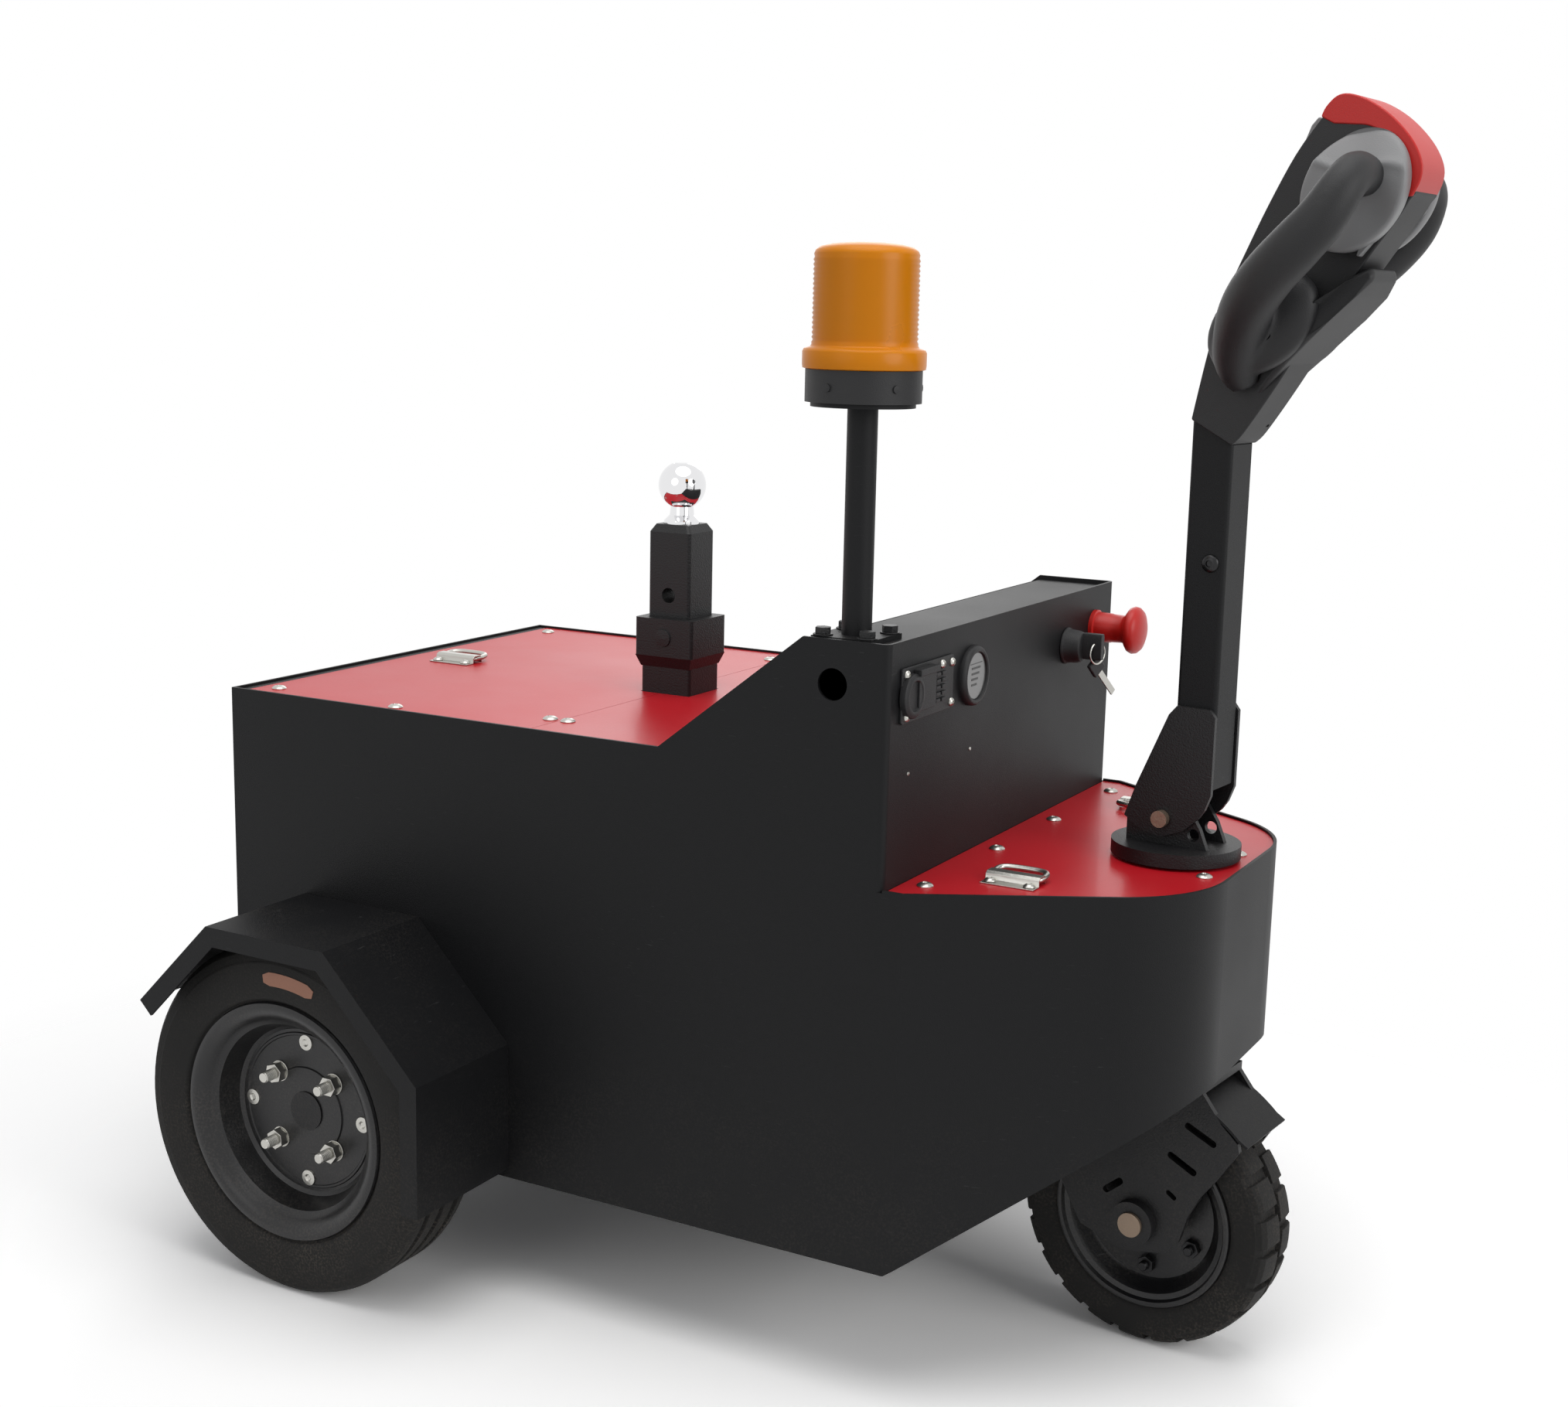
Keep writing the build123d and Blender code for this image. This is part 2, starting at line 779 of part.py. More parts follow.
def throttle_oval(low_y, high_y, side, share, mode=Mode.ADD):
    """An upright oval beside the head, with the disc's tilt and a share of its size."""
    low, high = between(low_y, high_y, side)
    with BuildSketch(across(high)) as oval:
        with Locations(Location((throttle_x, throttle_z), throttle_tilt)):
            Ellipse(throttle_long * share, throttle_short * share)
    extrude(oval.sketch, amount=high - low, mode=mode)


for side, sign in sides:
    with BuildPart() as throttle:
        throttle_oval(throttle_in, throttle_out, sign, 1)
        throttle_oval(head_half, throttle_in, sign, neck_share)
    save_steered(throttle, f"throttle_{side}")

# Grip loops: from an oval root on the housing out and up to the throttle disc
grip_radius = 18
root_x = dash_x + 257
root_z = 981
root_out = 46
root_long = 52
root_short = 40
root_tilt = 42
grip_route = (
    # x, distance from the centre line, z
    (dash_x + 252, head_half + 8, 981),
    (dash_x + 256, 82, 990),
    (dash_x + 296, 113, 1042),
    (dash_x + 338, 113, 1096),
    (dash_x + 334, throttle_out - 7, 1103),
)
for side, sign in sides:
    with BuildPart() as grip:
        with BuildLine() as route:
            FilletPolyline(*[(x, sign * y, z) for x, y, z in grip_route], radius=26)
        start = route.wires()[0]
        with BuildSketch(Plane(origin=start @ 0, z_dir=start % 0)):
            Circle(grip_radius)
        sweep(path=start)
        low, high = between(head_half, root_out, sign)
        with BuildSketch(across(high)) as root:
            with Locations(Location((root_x, root_z), root_tilt)):
                Ellipse(root_long, root_short)
        extrude(root.sketch, amount=high - low)
        throttle_oval(throttle_in, throttle_out, sign, 1, Mode.SUBTRACT)
    save_steered(grip, f"grip_loop_{side}")

# Hitch: beam under the deck, socket with a collar, square bar and tow ball
beam_top = 560
with BuildPart() as hitch_beam:
    block((hitch_x - 40, -inner_half, beam_top - 60), (hitch_x + 40, inner_half, beam_top))
save(hitch_beam, "hitch_beam")

collar_size = 70
collar_low = 625
collar_high = 665
socket_bore = hitch_bar_size + 0.4
with BuildPart() as hitch_socket:
    half = socket_size / 2
    block((hitch_x - half, -half, beam_top), (hitch_x + half, half, collar_high))
    half = collar_size / 2
    block((hitch_x - half, -half, collar_low), (hitch_x + half, half, collar_high))
    fillet(edges().filter_by(Axis.Z), 4)
    with BuildSketch(Plane.XY.offset(collar_low - 12)):
        with Locations((hitch_x, 0)):
            Rectangle(socket_size, socket_size)
    with BuildSketch(Plane.XY.offset(collar_low)):
        with Locations((hitch_x, 0)):
            Rectangle(collar_size - 1, collar_size - 1)
    loft()
    half = socket_bore / 2
    block((hitch_x - half, -half, beam_top + 10), (hitch_x + half, half, collar_high), Mode.SUBTRACT)
save(hitch_socket, "hitch_socket")

bar_top = 763
bar_taper = 8
pin_hole_z = 689
pin_hole_radius = 8
with BuildPart() as hitch_bar:
    half = hitch_bar_size / 2
    block((hitch_x - half, -half, beam_top + 10), (hitch_x + half, half, bar_top - bar_taper))
    fillet(edges().filter_by(Axis.Z), 4)
    for size, corner, z in ((hitch_bar_size, 4, bar_top - bar_taper), (40, 3, bar_top)):
        with BuildSketch(Plane.XY.offset(z)):
            with Locations((hitch_x, 0)):
                RectangleRounded(size, size, corner)
    loft()
    disc_y(hitch_x, pin_hole_z, pin_hole_radius, -half, half, Mode.SUBTRACT)
save(hitch_bar, "hitch_bar")

with BuildPart() as tow_ball:
    with BuildSketch(Plane.XZ):
        with BuildLine():
            neck = Polyline(
                (hitch_x, bar_top),
                (hitch_x + 19, bar_top),
                (hitch_x + 19, bar_top + 3),
                (hitch_x + 13, bar_top + 9),
                (hitch_x + 12, ball_z - 21.93),
            )
            flat_half = 9
            top_z = ball_z + 23.32
            arc = ThreePointArc(neck @ 1, (hitch_x + ball_radius, ball_z), (hitch_x + flat_half, top_z))
            Polyline(arc @ 1, (hitch_x, top_z), (hitch_x, bar_top))
        make_face()
    revolve(axis=Axis((hitch_x, 0, 0), (0, 0, 1)), revolution_arc=360)
save(tow_ball, "tow_ball")

# Beacon: foot plate, pole, black base and amber lens
pole_top = 905
with BuildPart() as beacon_pole:
    block(
        (beacon_x - 30, beacon_y - 30, dash_plate_z),
        (beacon_x + 30, beacon_y + 30, dash_plate_z + 5),
    )
    disc_z(beacon_x, beacon_y, 13.5, dash_plate_z, pole_top)
    disc_z(beacon_x, beacon_y, 46, pole_top, pole_top + 4)
save(beacon_pole, "beacon_pole")

with BuildPart() as beacon_base:
    disc_z(beacon_x, beacon_y, 51, pole_top + 4, 937)
save(beacon_base, "beacon_base")

lens_wall = 3
with BuildPart() as beacon_lens:
    with BuildSketch(Plane.XZ.offset(-beacon_y)):
        with BuildLine():
            Polyline(
                (beacon_x + 51, 937),
                (beacon_x + 54, 937),
                (beacon_x + 54, 955),
                (beacon_x + 46, 957),
                (beacon_x + 45, 1035),
                (beacon_x + 38, 1041),
                (beacon_x, 1045),
                (beacon_x, 1042),
                (beacon_x + 36, 1038),
                (beacon_x + 42, 1033),
                (beacon_x + 43, 954),
                (beacon_x + 51, 952),
                close=True,
            )
        make_face()
    revolve(axis=Axis((beacon_x, beacon_y, 0), (0, 0, 1)), revolution_arc=360)
save(beacon_lens, "beacon_lens")

# Instruments on the dash face: the charge socket's plate and its raised flap
with BuildPart() as socket_plate:
    block((dash_x, -250, 632), (dash_x + 3, -143, 680))
    block((dash_x + 3, -232, 636), (dash_x + 11, -196, 676))
save(socket_plate, "charge_socket")

# Round battery gauge with its glass set back inside the bezel
gauge_y = -97
gauge_z = 654
bezel_radius = 28.5
bezel_width = 3.5
bezel_out = 7
glass_depth = 2
with BuildPart() as gauge:
    disc_x(gauge_y, gauge_z, bezel_radius, dash_x, dash_x + bezel_out)
    glass_x = dash_x + bezel_out - glass_depth
    disc_x(gauge_y, gauge_z, bezel_radius - bezel_width, glass_x, dash_x + bezel_out, Mode.SUBTRACT)
save(gauge, "battery_gauge")

# Key switch with the key in it and a second key hanging beside it
key_y = 141
key_z = 651.5
key_half = 1.5
switch_steps = (
    # radius, start and end out of the dash face
    (17.5, 0, 14),
    (12, 14, 26),
)
with BuildPart() as key_switch:
    for radius, start, end in switch_steps:
        disc_x(key_y, key_z, radius, dash_x + start, dash_x + end)
    block((dash_x + 26, key_y - key_half, 640), (dash_x + 44, key_y + key_half, 662))
    block((dash_x + 28, key_y + key_half, 600), (dash_x + 31, key_y + 11, 645))
save(key_switch, "key_switch")

# Emergency button: collar, stem and mushroom
button_y = 219
button_z = 662
button_steps = (
    # radius, start and end out of the dash face
    (17, 0, 16),
    (12, 16, 32),
    (25, 32, 50),
)
with BuildPart() as stop_button:
    for radius, start, end in button_steps:
        disc_x(button_y, button_z, radius, dash_x + start, dash_x + end)
save(stop_button, "emergency_button")

# Folding lift handles on the deck panels
handle_spots = (
    # centre x, centre y, deck height
    (dash_x + 84, -168, front_deck_z),
    (dash_x + 84, 168, front_deck_z),
    (dash_x - 680, 10, rear_deck_z),
)
with BuildPart() as deck_handles:
    for x, y, z in handle_spots:
        block((x - 25, y - 22, z), (x + 25, y + 22, z + 2))
        block((x - 25, y - 18, z + 2), (x - 19, y + 18, z + 8))
        block((x + 19, y - 18, z + 2), (x + 25, y + 18, z + 8))
        block((x - 19, y - 18, z + 2), (x + 19, y - 12, z + 8))
save(deck_handles, "deck_handles")
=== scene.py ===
# %% [markdown]
# # A walk-behind electric tow tractor
# A small black electric tug with red deck panels, an amber beacon and a tow ball, steered
# by a tiller. The solids come from the part's own CAD model. This lesson gives them paint,
# rubber and chrome, and makes the soft and fine pieces that CAD leaves plain.

import math

import bmesh
import bpy
from mathutils import Matrix, Vector


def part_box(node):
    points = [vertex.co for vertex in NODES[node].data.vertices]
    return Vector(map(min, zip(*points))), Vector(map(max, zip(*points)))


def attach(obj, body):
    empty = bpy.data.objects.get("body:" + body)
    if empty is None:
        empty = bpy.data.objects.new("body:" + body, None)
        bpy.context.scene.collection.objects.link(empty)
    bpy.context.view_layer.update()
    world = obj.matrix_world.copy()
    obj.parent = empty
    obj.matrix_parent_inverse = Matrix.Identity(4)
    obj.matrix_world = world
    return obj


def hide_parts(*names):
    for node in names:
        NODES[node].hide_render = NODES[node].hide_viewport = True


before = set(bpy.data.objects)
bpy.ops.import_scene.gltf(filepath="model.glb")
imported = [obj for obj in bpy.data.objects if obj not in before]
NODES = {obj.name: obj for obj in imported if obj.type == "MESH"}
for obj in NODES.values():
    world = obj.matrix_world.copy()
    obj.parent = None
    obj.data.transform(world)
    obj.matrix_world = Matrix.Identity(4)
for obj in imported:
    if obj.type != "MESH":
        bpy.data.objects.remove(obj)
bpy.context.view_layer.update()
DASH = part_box("dash_face")[1][0]

# %% [markdown]
# The camera stands about two metres away, at eye height for a person crouching, and is
# turned a little about its own axis. Its place is worked out from the dash face, because
# that is the one plane whose corners all show. The lens is a normal one.

# %% Camera
AZIMUTH, ELEVATION, ROLL = math.radians(28.96), math.radians(10.65), math.radians(1.26)
right = Vector((math.cos(AZIMUTH), math.sin(AZIMUTH), 0))
forward = Vector((
    -math.sin(AZIMUTH) * math.cos(ELEVATION),
    math.cos(AZIMUTH) * math.cos(ELEVATION),
    -math.sin(ELEVATION),
))
up = right.cross(forward)
rolled_right = right * math.cos(ROLL) + up * math.sin(ROLL)
rolled_up = up * math.cos(ROLL) - right * math.sin(ROLL)
camera = bpy.data.objects.new("camera", bpy.data.cameras.new("camera"))
camera.data.lens = 48.45
camera.data.sensor_width = 36
camera.data.clip_end = 60
facing = Matrix((rolled_right, rolled_up, -forward)).transposed().to_4x4()
camera.matrix_world = Matrix.Translation((DASH + 0.7893, -1.88438, 0.98911)) @ facing
bpy.context.scene.collection.objects.link(camera)
bpy.context.scene.camera = camera
print("camera", [round(v, 3) for v in camera.location], "lens", camera.data.lens)

# %% [markdown]
# Four big soft lamps do what a bright hall does: a strong one overhead, one in front of the
# nose, and a weaker one on each side. A ray that leaves the scene sees plain white, but the
# world gives less light than that to dull surfaces.

# %% Floor, world and lamps
FLOOR_SIZE = 30
floor_mesh = bpy.data.meshes.new("floor")
corner = FLOOR_SIZE / 2
floor_mesh.from_pydata(
    [(-corner, -corner, 0), (corner, -corner, 0), (corner, corner, 0), (-corner, corner, 0)],
    [],
    [(0, 1, 2, 3)],
)
floor = bpy.data.objects.new("floor", floor_mesh)
bpy.context.scene.collection.objects.link(floor)


def light_path_white(nodes, links):
    """One where a camera, glossy or transmission ray looks, else zero."""
    path = nodes.new("ShaderNodeLightPath")
    first = nodes.new("ShaderNodeMath")
    first.operation = "MAXIMUM"
    links.new(path.outputs["Is Camera Ray"], first.inputs[0])
    links.new(path.outputs["Is Glossy Ray"], first.inputs[1])
    second = nodes.new("ShaderNodeMath")
    second.operation = "MAXIMUM"
    links.new(first.outputs[0], second.inputs[0])
    links.new(path.outputs["Is Transmission Ray"], second.inputs[1])
    return second.outputs[0]


world = bpy.data.worlds.new("hall")
bpy.context.scene.world = world
world.use_nodes = True
world.node_tree.nodes.clear()
dim = world.node_tree.nodes.new("ShaderNodeBackground")
dim.inputs["Color"].default_value = (0.95, 0.97, 1.0, 1)
dim.inputs["Strength"].default_value = 0.34
white = world.node_tree.nodes.new("ShaderNodeBackground")
white.inputs["Color"].default_value = (1, 1, 1, 1)
white.inputs["Strength"].default_value = 1.0
choose = world.node_tree.nodes.new("ShaderNodeMixShader")
out = world.node_tree.nodes.new("ShaderNodeOutputWorld")
world.node_tree.links.new(
    light_path_white(world.node_tree.nodes, world.node_tree.links), choose.inputs[0]
)
world.node_tree.links.new(dim.outputs[0], choose.inputs[1])
world.node_tree.links.new(white.outputs[0], choose.inputs[2])
world.node_tree.links.new(choose.outputs[0], out.inputs["Surface"])

LAMPS = (
    # name, place, aim, size, watts
    ("overhead", (0.3, -0.5, 3.4), (0, 0, 0.3), 3.0, 46),
    ("nose_side", (3.2, -0.6, 1.7), (0.3, 0, 0.5), 2.0, 34),
    ("near_side", (-0.6, -3.4, 1.9), (0, 0, 0.4), 2.2, 9),
    ("far_side", (-1.5, 3.0, 2.2), (0, 0, 0.5), 2.2, 16),
)
for lamp_name, place, aim, size, watts in LAMPS:
    light = bpy.data.lights.new(lamp_name, "AREA")
    light.shape = "DISK"
    light.size = size
    light.energy = watts
    lamp = bpy.data.objects.new(lamp_name, light)
    lamp.location = place
    lamp.rotation_euler = (Vector(aim) - Vector(place)).to_track_quat("-Z", "Y").to_euler()
    bpy.context.scene.collection.objects.link(lamp)
bpy.context.scene.view_settings.view_transform = "Standard"
print(len(LAMPS), "lamps")

# %% [markdown]
# Every finish here is worn in the same few ways, so the effects are node groups that each
# material places with its own numbers. `grain` gives the small bumps of powder coat or
# moulded plastic as a height. `dust` gives a mask that is strongest low down, where wheels
# throw dirt, and on faces that look up. `scuffs` gives thin pale scratches.


# %% Shared effects
def start_group(name, inputs, outputs):
    """A new shader node group with float inputs (name, default) and outputs (name, kind)."""
    group = bpy.data.node_groups.new(name, "ShaderNodeTree")
    for label, value in inputs:
        socket = group.interface.new_socket(label, in_out="INPUT", socket_type="NodeSocketFloat")
        socket.default_value = value
    for label, kind in outputs:
        group.interface.new_socket(label, in_out="OUTPUT", socket_type=kind)
    return group, group.nodes.new("NodeGroupInput"), group.nodes.new("NodeGroupOutput")


def math_node(tree, operation, a, b=None, c=None):
    """A Math node, with a number or a socket for each argument."""
    node = tree.nodes.new("ShaderNodeMath")
    node.operation = operation
    for slot_index, value in enumerate((a, b, c)):
        if value is None:
            continue
        if isinstance(value, (int, float)):
            node.inputs[slot_index].default_value = value
        else:
            tree.links.new(value, node.inputs[slot_index])
    return node.outputs[0]


def noise_node(tree, scale, detail=3.0, stretch=None):
    """A Noise texture in object coordinates, with an optional stretch per axis."""
    place = tree.nodes.new("ShaderNodeTexCoord").outputs["Object"]
    if stretch:
        mapping = tree.nodes.new("ShaderNodeMapping")
        mapping.inputs["Scale"].default_value = stretch
        tree.links.new(place, mapping.inputs["Vector"])
        place = mapping.outputs[0]
    noise = tree.nodes.new("ShaderNodeTexNoise")
    noise.inputs["Detail"].default_value = detail
    tree.links.new(place, noise.inputs["Vector"])
    if isinstance(scale, (int, float)):
        noise.inputs["Scale"].default_value = scale
    else:
        tree.links.new(scale, noise.inputs["Scale"])
    return noise.outputs["Fac"]


def ramp(tree, value, low, high):
    """0 below low, 1 above high, straight between."""
    node = tree.nodes.new("ShaderNodeMapRange")
    tree.links.new(value, node.inputs["Value"])
    for label, edge in (("From Min", low), ("From Max", high)):
        if isinstance(edge, (int, float)):
            node.inputs[label].default_value = edge
        else:
            tree.links.new(edge, node.inputs[label])
    return node.outputs[0]


def make_grain():
    """Height of fine bumps, and a slow variation for roughness."""
    group, inside, outside = start_group(
        "grain",
        (("Scale", 900.0), ("Patches", 6.0)),
        (("Height", "NodeSocketFloat"), ("Patch", "NodeSocketFloat")),
    )
    fine = noise_node(group, inside.outputs["Scale"], 2.0)
    slow = noise_node(group, inside.outputs["Patches"], 4.0)
    group.links.new(fine, outside.inputs["Height"])
    group.links.new(slow, outside.inputs["Patch"])
    return group


def make_dust():
    """Mask of settled and thrown dust."""
    group, inside, outside = start_group(
        "dust",
        (("Amount", 0.3), ("Reach", 0.35)),
        (("Mask", "NodeSocketFloat"),),
    )
    geometry = group.nodes.new("ShaderNodeNewGeometry")
    place = group.nodes.new("ShaderNodeSeparateXYZ")
    group.links.new(group.nodes.new("ShaderNodeTexCoord").outputs["Object"], place.inputs[0])
    facing = group.nodes.new("ShaderNodeSeparateXYZ")
    group.links.new(geometry.outputs["Normal"], facing.inputs[0])
    height = ramp(group, place.outputs["Z"], 0.0, inside.outputs["Reach"])
    low = math_node(group, "SUBTRACT", 1.0, height)
    upward = math_node(group, "MULTIPLY", ramp(group, facing.outputs["Z"], 0.3, 1.0), 0.5)
    base = math_node(group, "MAXIMUM", low, upward)
    cloud = ramp(group, noise_node(group, 14.0, 6.0), 0.35, 0.75)
    speck = ramp(group, noise_node(group, 420.0, 2.0), 0.45, 0.7)
    broken = math_node(group, "MULTIPLY", cloud, speck)
    settled = math_node(group, "MULTIPLY", base, broken)
    mask = math_node(group, "MULTIPLY", settled, inside.outputs["Amount"])
    group.links.new(mask, outside.inputs["Mask"])
    return group


def make_scuffs():
    """Mask of thin scratches, all running about one way."""
    group, inside, outside = start_group(
        "scuffs", (("Amount", 0.3), ("Scale", 60.0)), (("Mask", "NodeSocketFloat"),)
    )
    streak = noise_node(group, inside.outputs["Scale"], 5.0, (1.0, 1.0, 9.0))
    patch = ramp(group, noise_node(group, 5.0, 3.0), 0.5, 0.7)
    thin = ramp(group, streak, 0.66, 0.72)
    patchy = math_node(group, "MULTIPLY", thin, patch)
    mask = math_node(group, "MULTIPLY", patchy, inside.outputs["Amount"])
    group.links.new(mask, outside.inputs["Mask"])
    return group


GRAIN, DUST, SCUFFS = make_grain(), make_dust(), make_scuffs()
print("effects:", GRAIN.name, DUST.name, SCUFFS.name)

# %% [markdown]
# A finish is a Principled shader plus those effects. Colours are mixed in order: the base
# colour, then scuffs, then dust on top. Roughness follows the slow patches and rises under
# dust. One function builds them all from a short row of numbers, so two finishes differ
# only where their rows do.

# %% Finishes
DUST_COLOUR = (0.15, 0.13, 0.11, 1)
COLOUR_A, COLOUR_B, COLOUR_RESULT = 6, 7, 2


def place_group(tree, group, **values):
    """A node group in a material, with its inputs set."""
    node = tree.nodes.new("ShaderNodeGroup")
    node.node_tree = group
    for label, value in values.items():
        node.inputs[label].default_value = value
    return node


def mix_colour(tree, factor, a, b):
    """Two colours mixed by a mask, each of them a tuple or a socket."""
    node = tree.nodes.new("ShaderNodeMix")
    node.data_type = "RGBA"
    tree.links.new(factor, node.inputs["Factor"])
    for place, value in ((COLOUR_A, a), (COLOUR_B, b)):
        if isinstance(value, tuple):
            node.inputs[place].default_value = value
        else:
            tree.links.new(value, node.inputs[place])
    return node.outputs[COLOUR_RESULT]


def finish(
    name,
    colour,
    rough,
    metallic=0.0,
    specular=0.5,
    coat=0.0,
    grain=(900.0, 0.0),
    patch=0.08,
    dust=(0.0, 0.35),
    scuff=(0.0, 60.0),
    scuff_colour=(0.2, 0.2, 0.2, 1),
    tone=0.12,
    transmission=0.0,
):
    """A Principled material. grain is (scale, bump depth in metres)."""
    material = bpy.data.materials.new(name)
    material.use_nodes = True
    tree = material.node_tree
    shader = tree.nodes["Principled BSDF"]
    base = (*colour, 1)
    dark = (*[c * (1 - tone) for c in colour], 1)
    surface = place_group(tree, GRAIN, Scale=grain[0])
    scratches = place_group(tree, SCUFFS, Amount=scuff[0], Scale=scuff[1])
    settled = place_group(tree, DUST, Amount=dust[0], Reach=dust[1])
    shade = mix_colour(tree, surface.outputs["Patch"], dark, base)
    worn = mix_colour(tree, scratches.outputs["Mask"], shade, scuff_colour)
    dusty = mix_colour(tree, settled.outputs["Mask"], worn, DUST_COLOUR)
    tree.links.new(dusty, shader.inputs["Base Color"])
    around = math_node(tree, "MULTIPLY_ADD", surface.outputs["Patch"], 2 * patch, rough - patch)
    dulled = math_node(tree, "MULTIPLY", settled.outputs["Mask"], 0.4)
    roughness = math_node(tree, "ADD", around, dulled)
    tree.links.new(roughness, shader.inputs["Roughness"])
    shader.inputs["Metallic"].default_value = metallic
    shader.inputs["Specular IOR Level"].default_value = specular
    shader.inputs["Coat Weight"].default_value = coat
    shader.inputs["Coat Roughness"].default_value = 0.08
    shader.inputs["Transmission Weight"].default_value = transmission
    if grain[1]:
        bump = tree.nodes.new("ShaderNodeBump")
        bump.inputs["Distance"].default_value = grain[1]
        bump.inputs["Strength"].default_value = 0.6
        tree.links.new(surface.outputs["Height"], bump.inputs["Height"])
        tree.links.new(bump.outputs["Normal"], shader.inputs["Normal"])
    return material


POWDER = finish(
    "powder_black", (0.0062, 0.0064, 0.0072), 0.5, specular=0.2, grain=(1100.0, 0.0003),
    dust=(0.25, 0.3), scuff=(0.12, 70.0), tone=0.25,
)
PANEL = finish(
    "panel_red", (0.6, 0.009, 0.018), 0.36, specular=0.28, coat=0.06, grain=(700.0, 0.00012),
    dust=(0.12, 0.1), scuff=(0.05, 60.0), scuff_colour=(0.7, 0.2, 0.2, 1), tone=0.06,
)
FRAME_PAINT = finish(
    "frame_black", (0.008, 0.008, 0.009), 0.45, specular=0.35, grain=(600.0, 0.0006),
    dust=(0.35, 0.4), scuff=(0.25, 90.0), tone=0.3,
)
RUBBER = finish(
    "rubber", (0.012, 0.0115, 0.011), 0.78, specular=0.3, grain=(500.0, 0.0005),
    dust=(0.75, 0.42), tone=0.3,
)
RIM_PAINT = finish(
    "rim_black", (0.008, 0.008, 0.009), 0.34, specular=0.45, grain=(500.0, 0.0003),
    dust=(0.4, 0.5), scuff=(0.2, 80.0), tone=0.2,
)
ZINC = finish(
    "zinc_steel", (0.58, 0.57, 0.53), 0.3, metallic=1.0, grain=(400.0, 0.0002),
    scuff=(0.4, 120.0), scuff_colour=(0.3, 0.29, 0.27, 1), tone=0.25,
)
BRONZE = finish(
    "axle_bronze", (0.36, 0.27, 0.2), 0.42, metallic=0.75, grain=(300.0, 0.0004),
    dust=(0.5, 0.5), tone=0.45,
)
CHROME = finish(
    "chrome", (0.82, 0.82, 0.83), 0.05, metallic=1.0, grain=(300.0, 0.0), patch=0.02,
    scuff=(0.12, 150.0), scuff_colour=(0.5, 0.5, 0.5, 1), tone=0.03,
)
GRIP_PLASTIC = finish(
    "black_plastic", (0.0115, 0.0115, 0.0125), 0.52, specular=0.38, grain=(1300.0, 0.0004),
    scuff=(0.1, 90.0), tone=0.15,
)
RED_PLASTIC = finish(
    "red_plastic", (0.6, 0.014, 0.01), 0.38, specular=0.45, grain=(1100.0, 0.00025), tone=0.08,
)
GREY_PLASTIC = finish(
    "grey_plastic", (0.27, 0.27, 0.272), 0.45, specular=0.4, grain=(1100.0, 0.0003), tone=0.07,
)
DARK_METAL = finish(
    "blackened_steel", (0.035, 0.035, 0.036), 0.3, metallic=0.85, grain=(400.0, 0.0003),
    scuff=(0.5, 140.0), scuff_colour=(0.4, 0.4, 0.39, 1), tone=0.3,
)
CASE = finish("battery_case", (0.03, 0.03, 0.034), 0.6, grain=(300.0, 0.0006), dust=(0.5, 0.5))
AMBER = finish(
    "amber_lens", (0.9, 0.3, 0.004), 0.3, specular=0.12, grain=(120.0, 0.0), transmission=0.2,
    tone=0.08,
)
print(len(bpy.data.materials), "materials")

# %% [markdown]
# The floor is plain and pale and only has to hold the machine's shadow. Near the machine it
# is a dull white sheet, a little brighter where the camera looks straight at it. Further
# out it fades to clear, so that the white hall shows and no edge of the floor can be seen.

# %% Floor finish
FADE_START, FADE_END = 0.6, 1.05
FLOOR_COLOUR = (0.9, 0.885, 0.86, 1)
CAMERA_COLOUR = (1.4, 1.385, 1.37, 1)
floor_paint = bpy.data.materials.new("floor_paint")
floor_paint.use_nodes = True
tree = floor_paint.node_tree
tree.nodes.clear()
sheet = tree.nodes.new("ShaderNodeBsdfDiffuse")
white_look = light_path_white(tree.nodes, tree.links)
tree.links.new(mix_colour(tree, white_look, FLOOR_COLOUR, CAMERA_COLOUR), sheet.inputs["Color"])
clear = tree.nodes.new("ShaderNodeBsdfTransparent")
place = tree.nodes.new("ShaderNodeMapping")
place.inputs["Scale"].default_value = (0.8, 1.0, 1.0)
tree.links.new(tree.nodes.new("ShaderNodeTexCoord").outputs["Object"], place.inputs["Vector"])
reach = tree.nodes.new("ShaderNodeVectorMath")
reach.operation = "LENGTH"
tree.links.new(place.outputs[0], reach.inputs[0])
fade = ramp(tree, reach.outputs["Value"], FADE_START, FADE_END)
blend = tree.nodes.new("ShaderNodeMixShader")
tree.links.new(fade, blend.inputs[0])
tree.links.new(sheet.outputs[0], blend.inputs[1])
tree.links.new(clear.outputs[0], blend.inputs[2])
surface_out = tree.nodes.new("ShaderNodeOutputMaterial")
tree.links.new(blend.outputs[0], surface_out.inputs["Surface"])
floor.data.materials.append(floor_paint)
print("floor fades from", FADE_START, "to", FADE_END, "m")
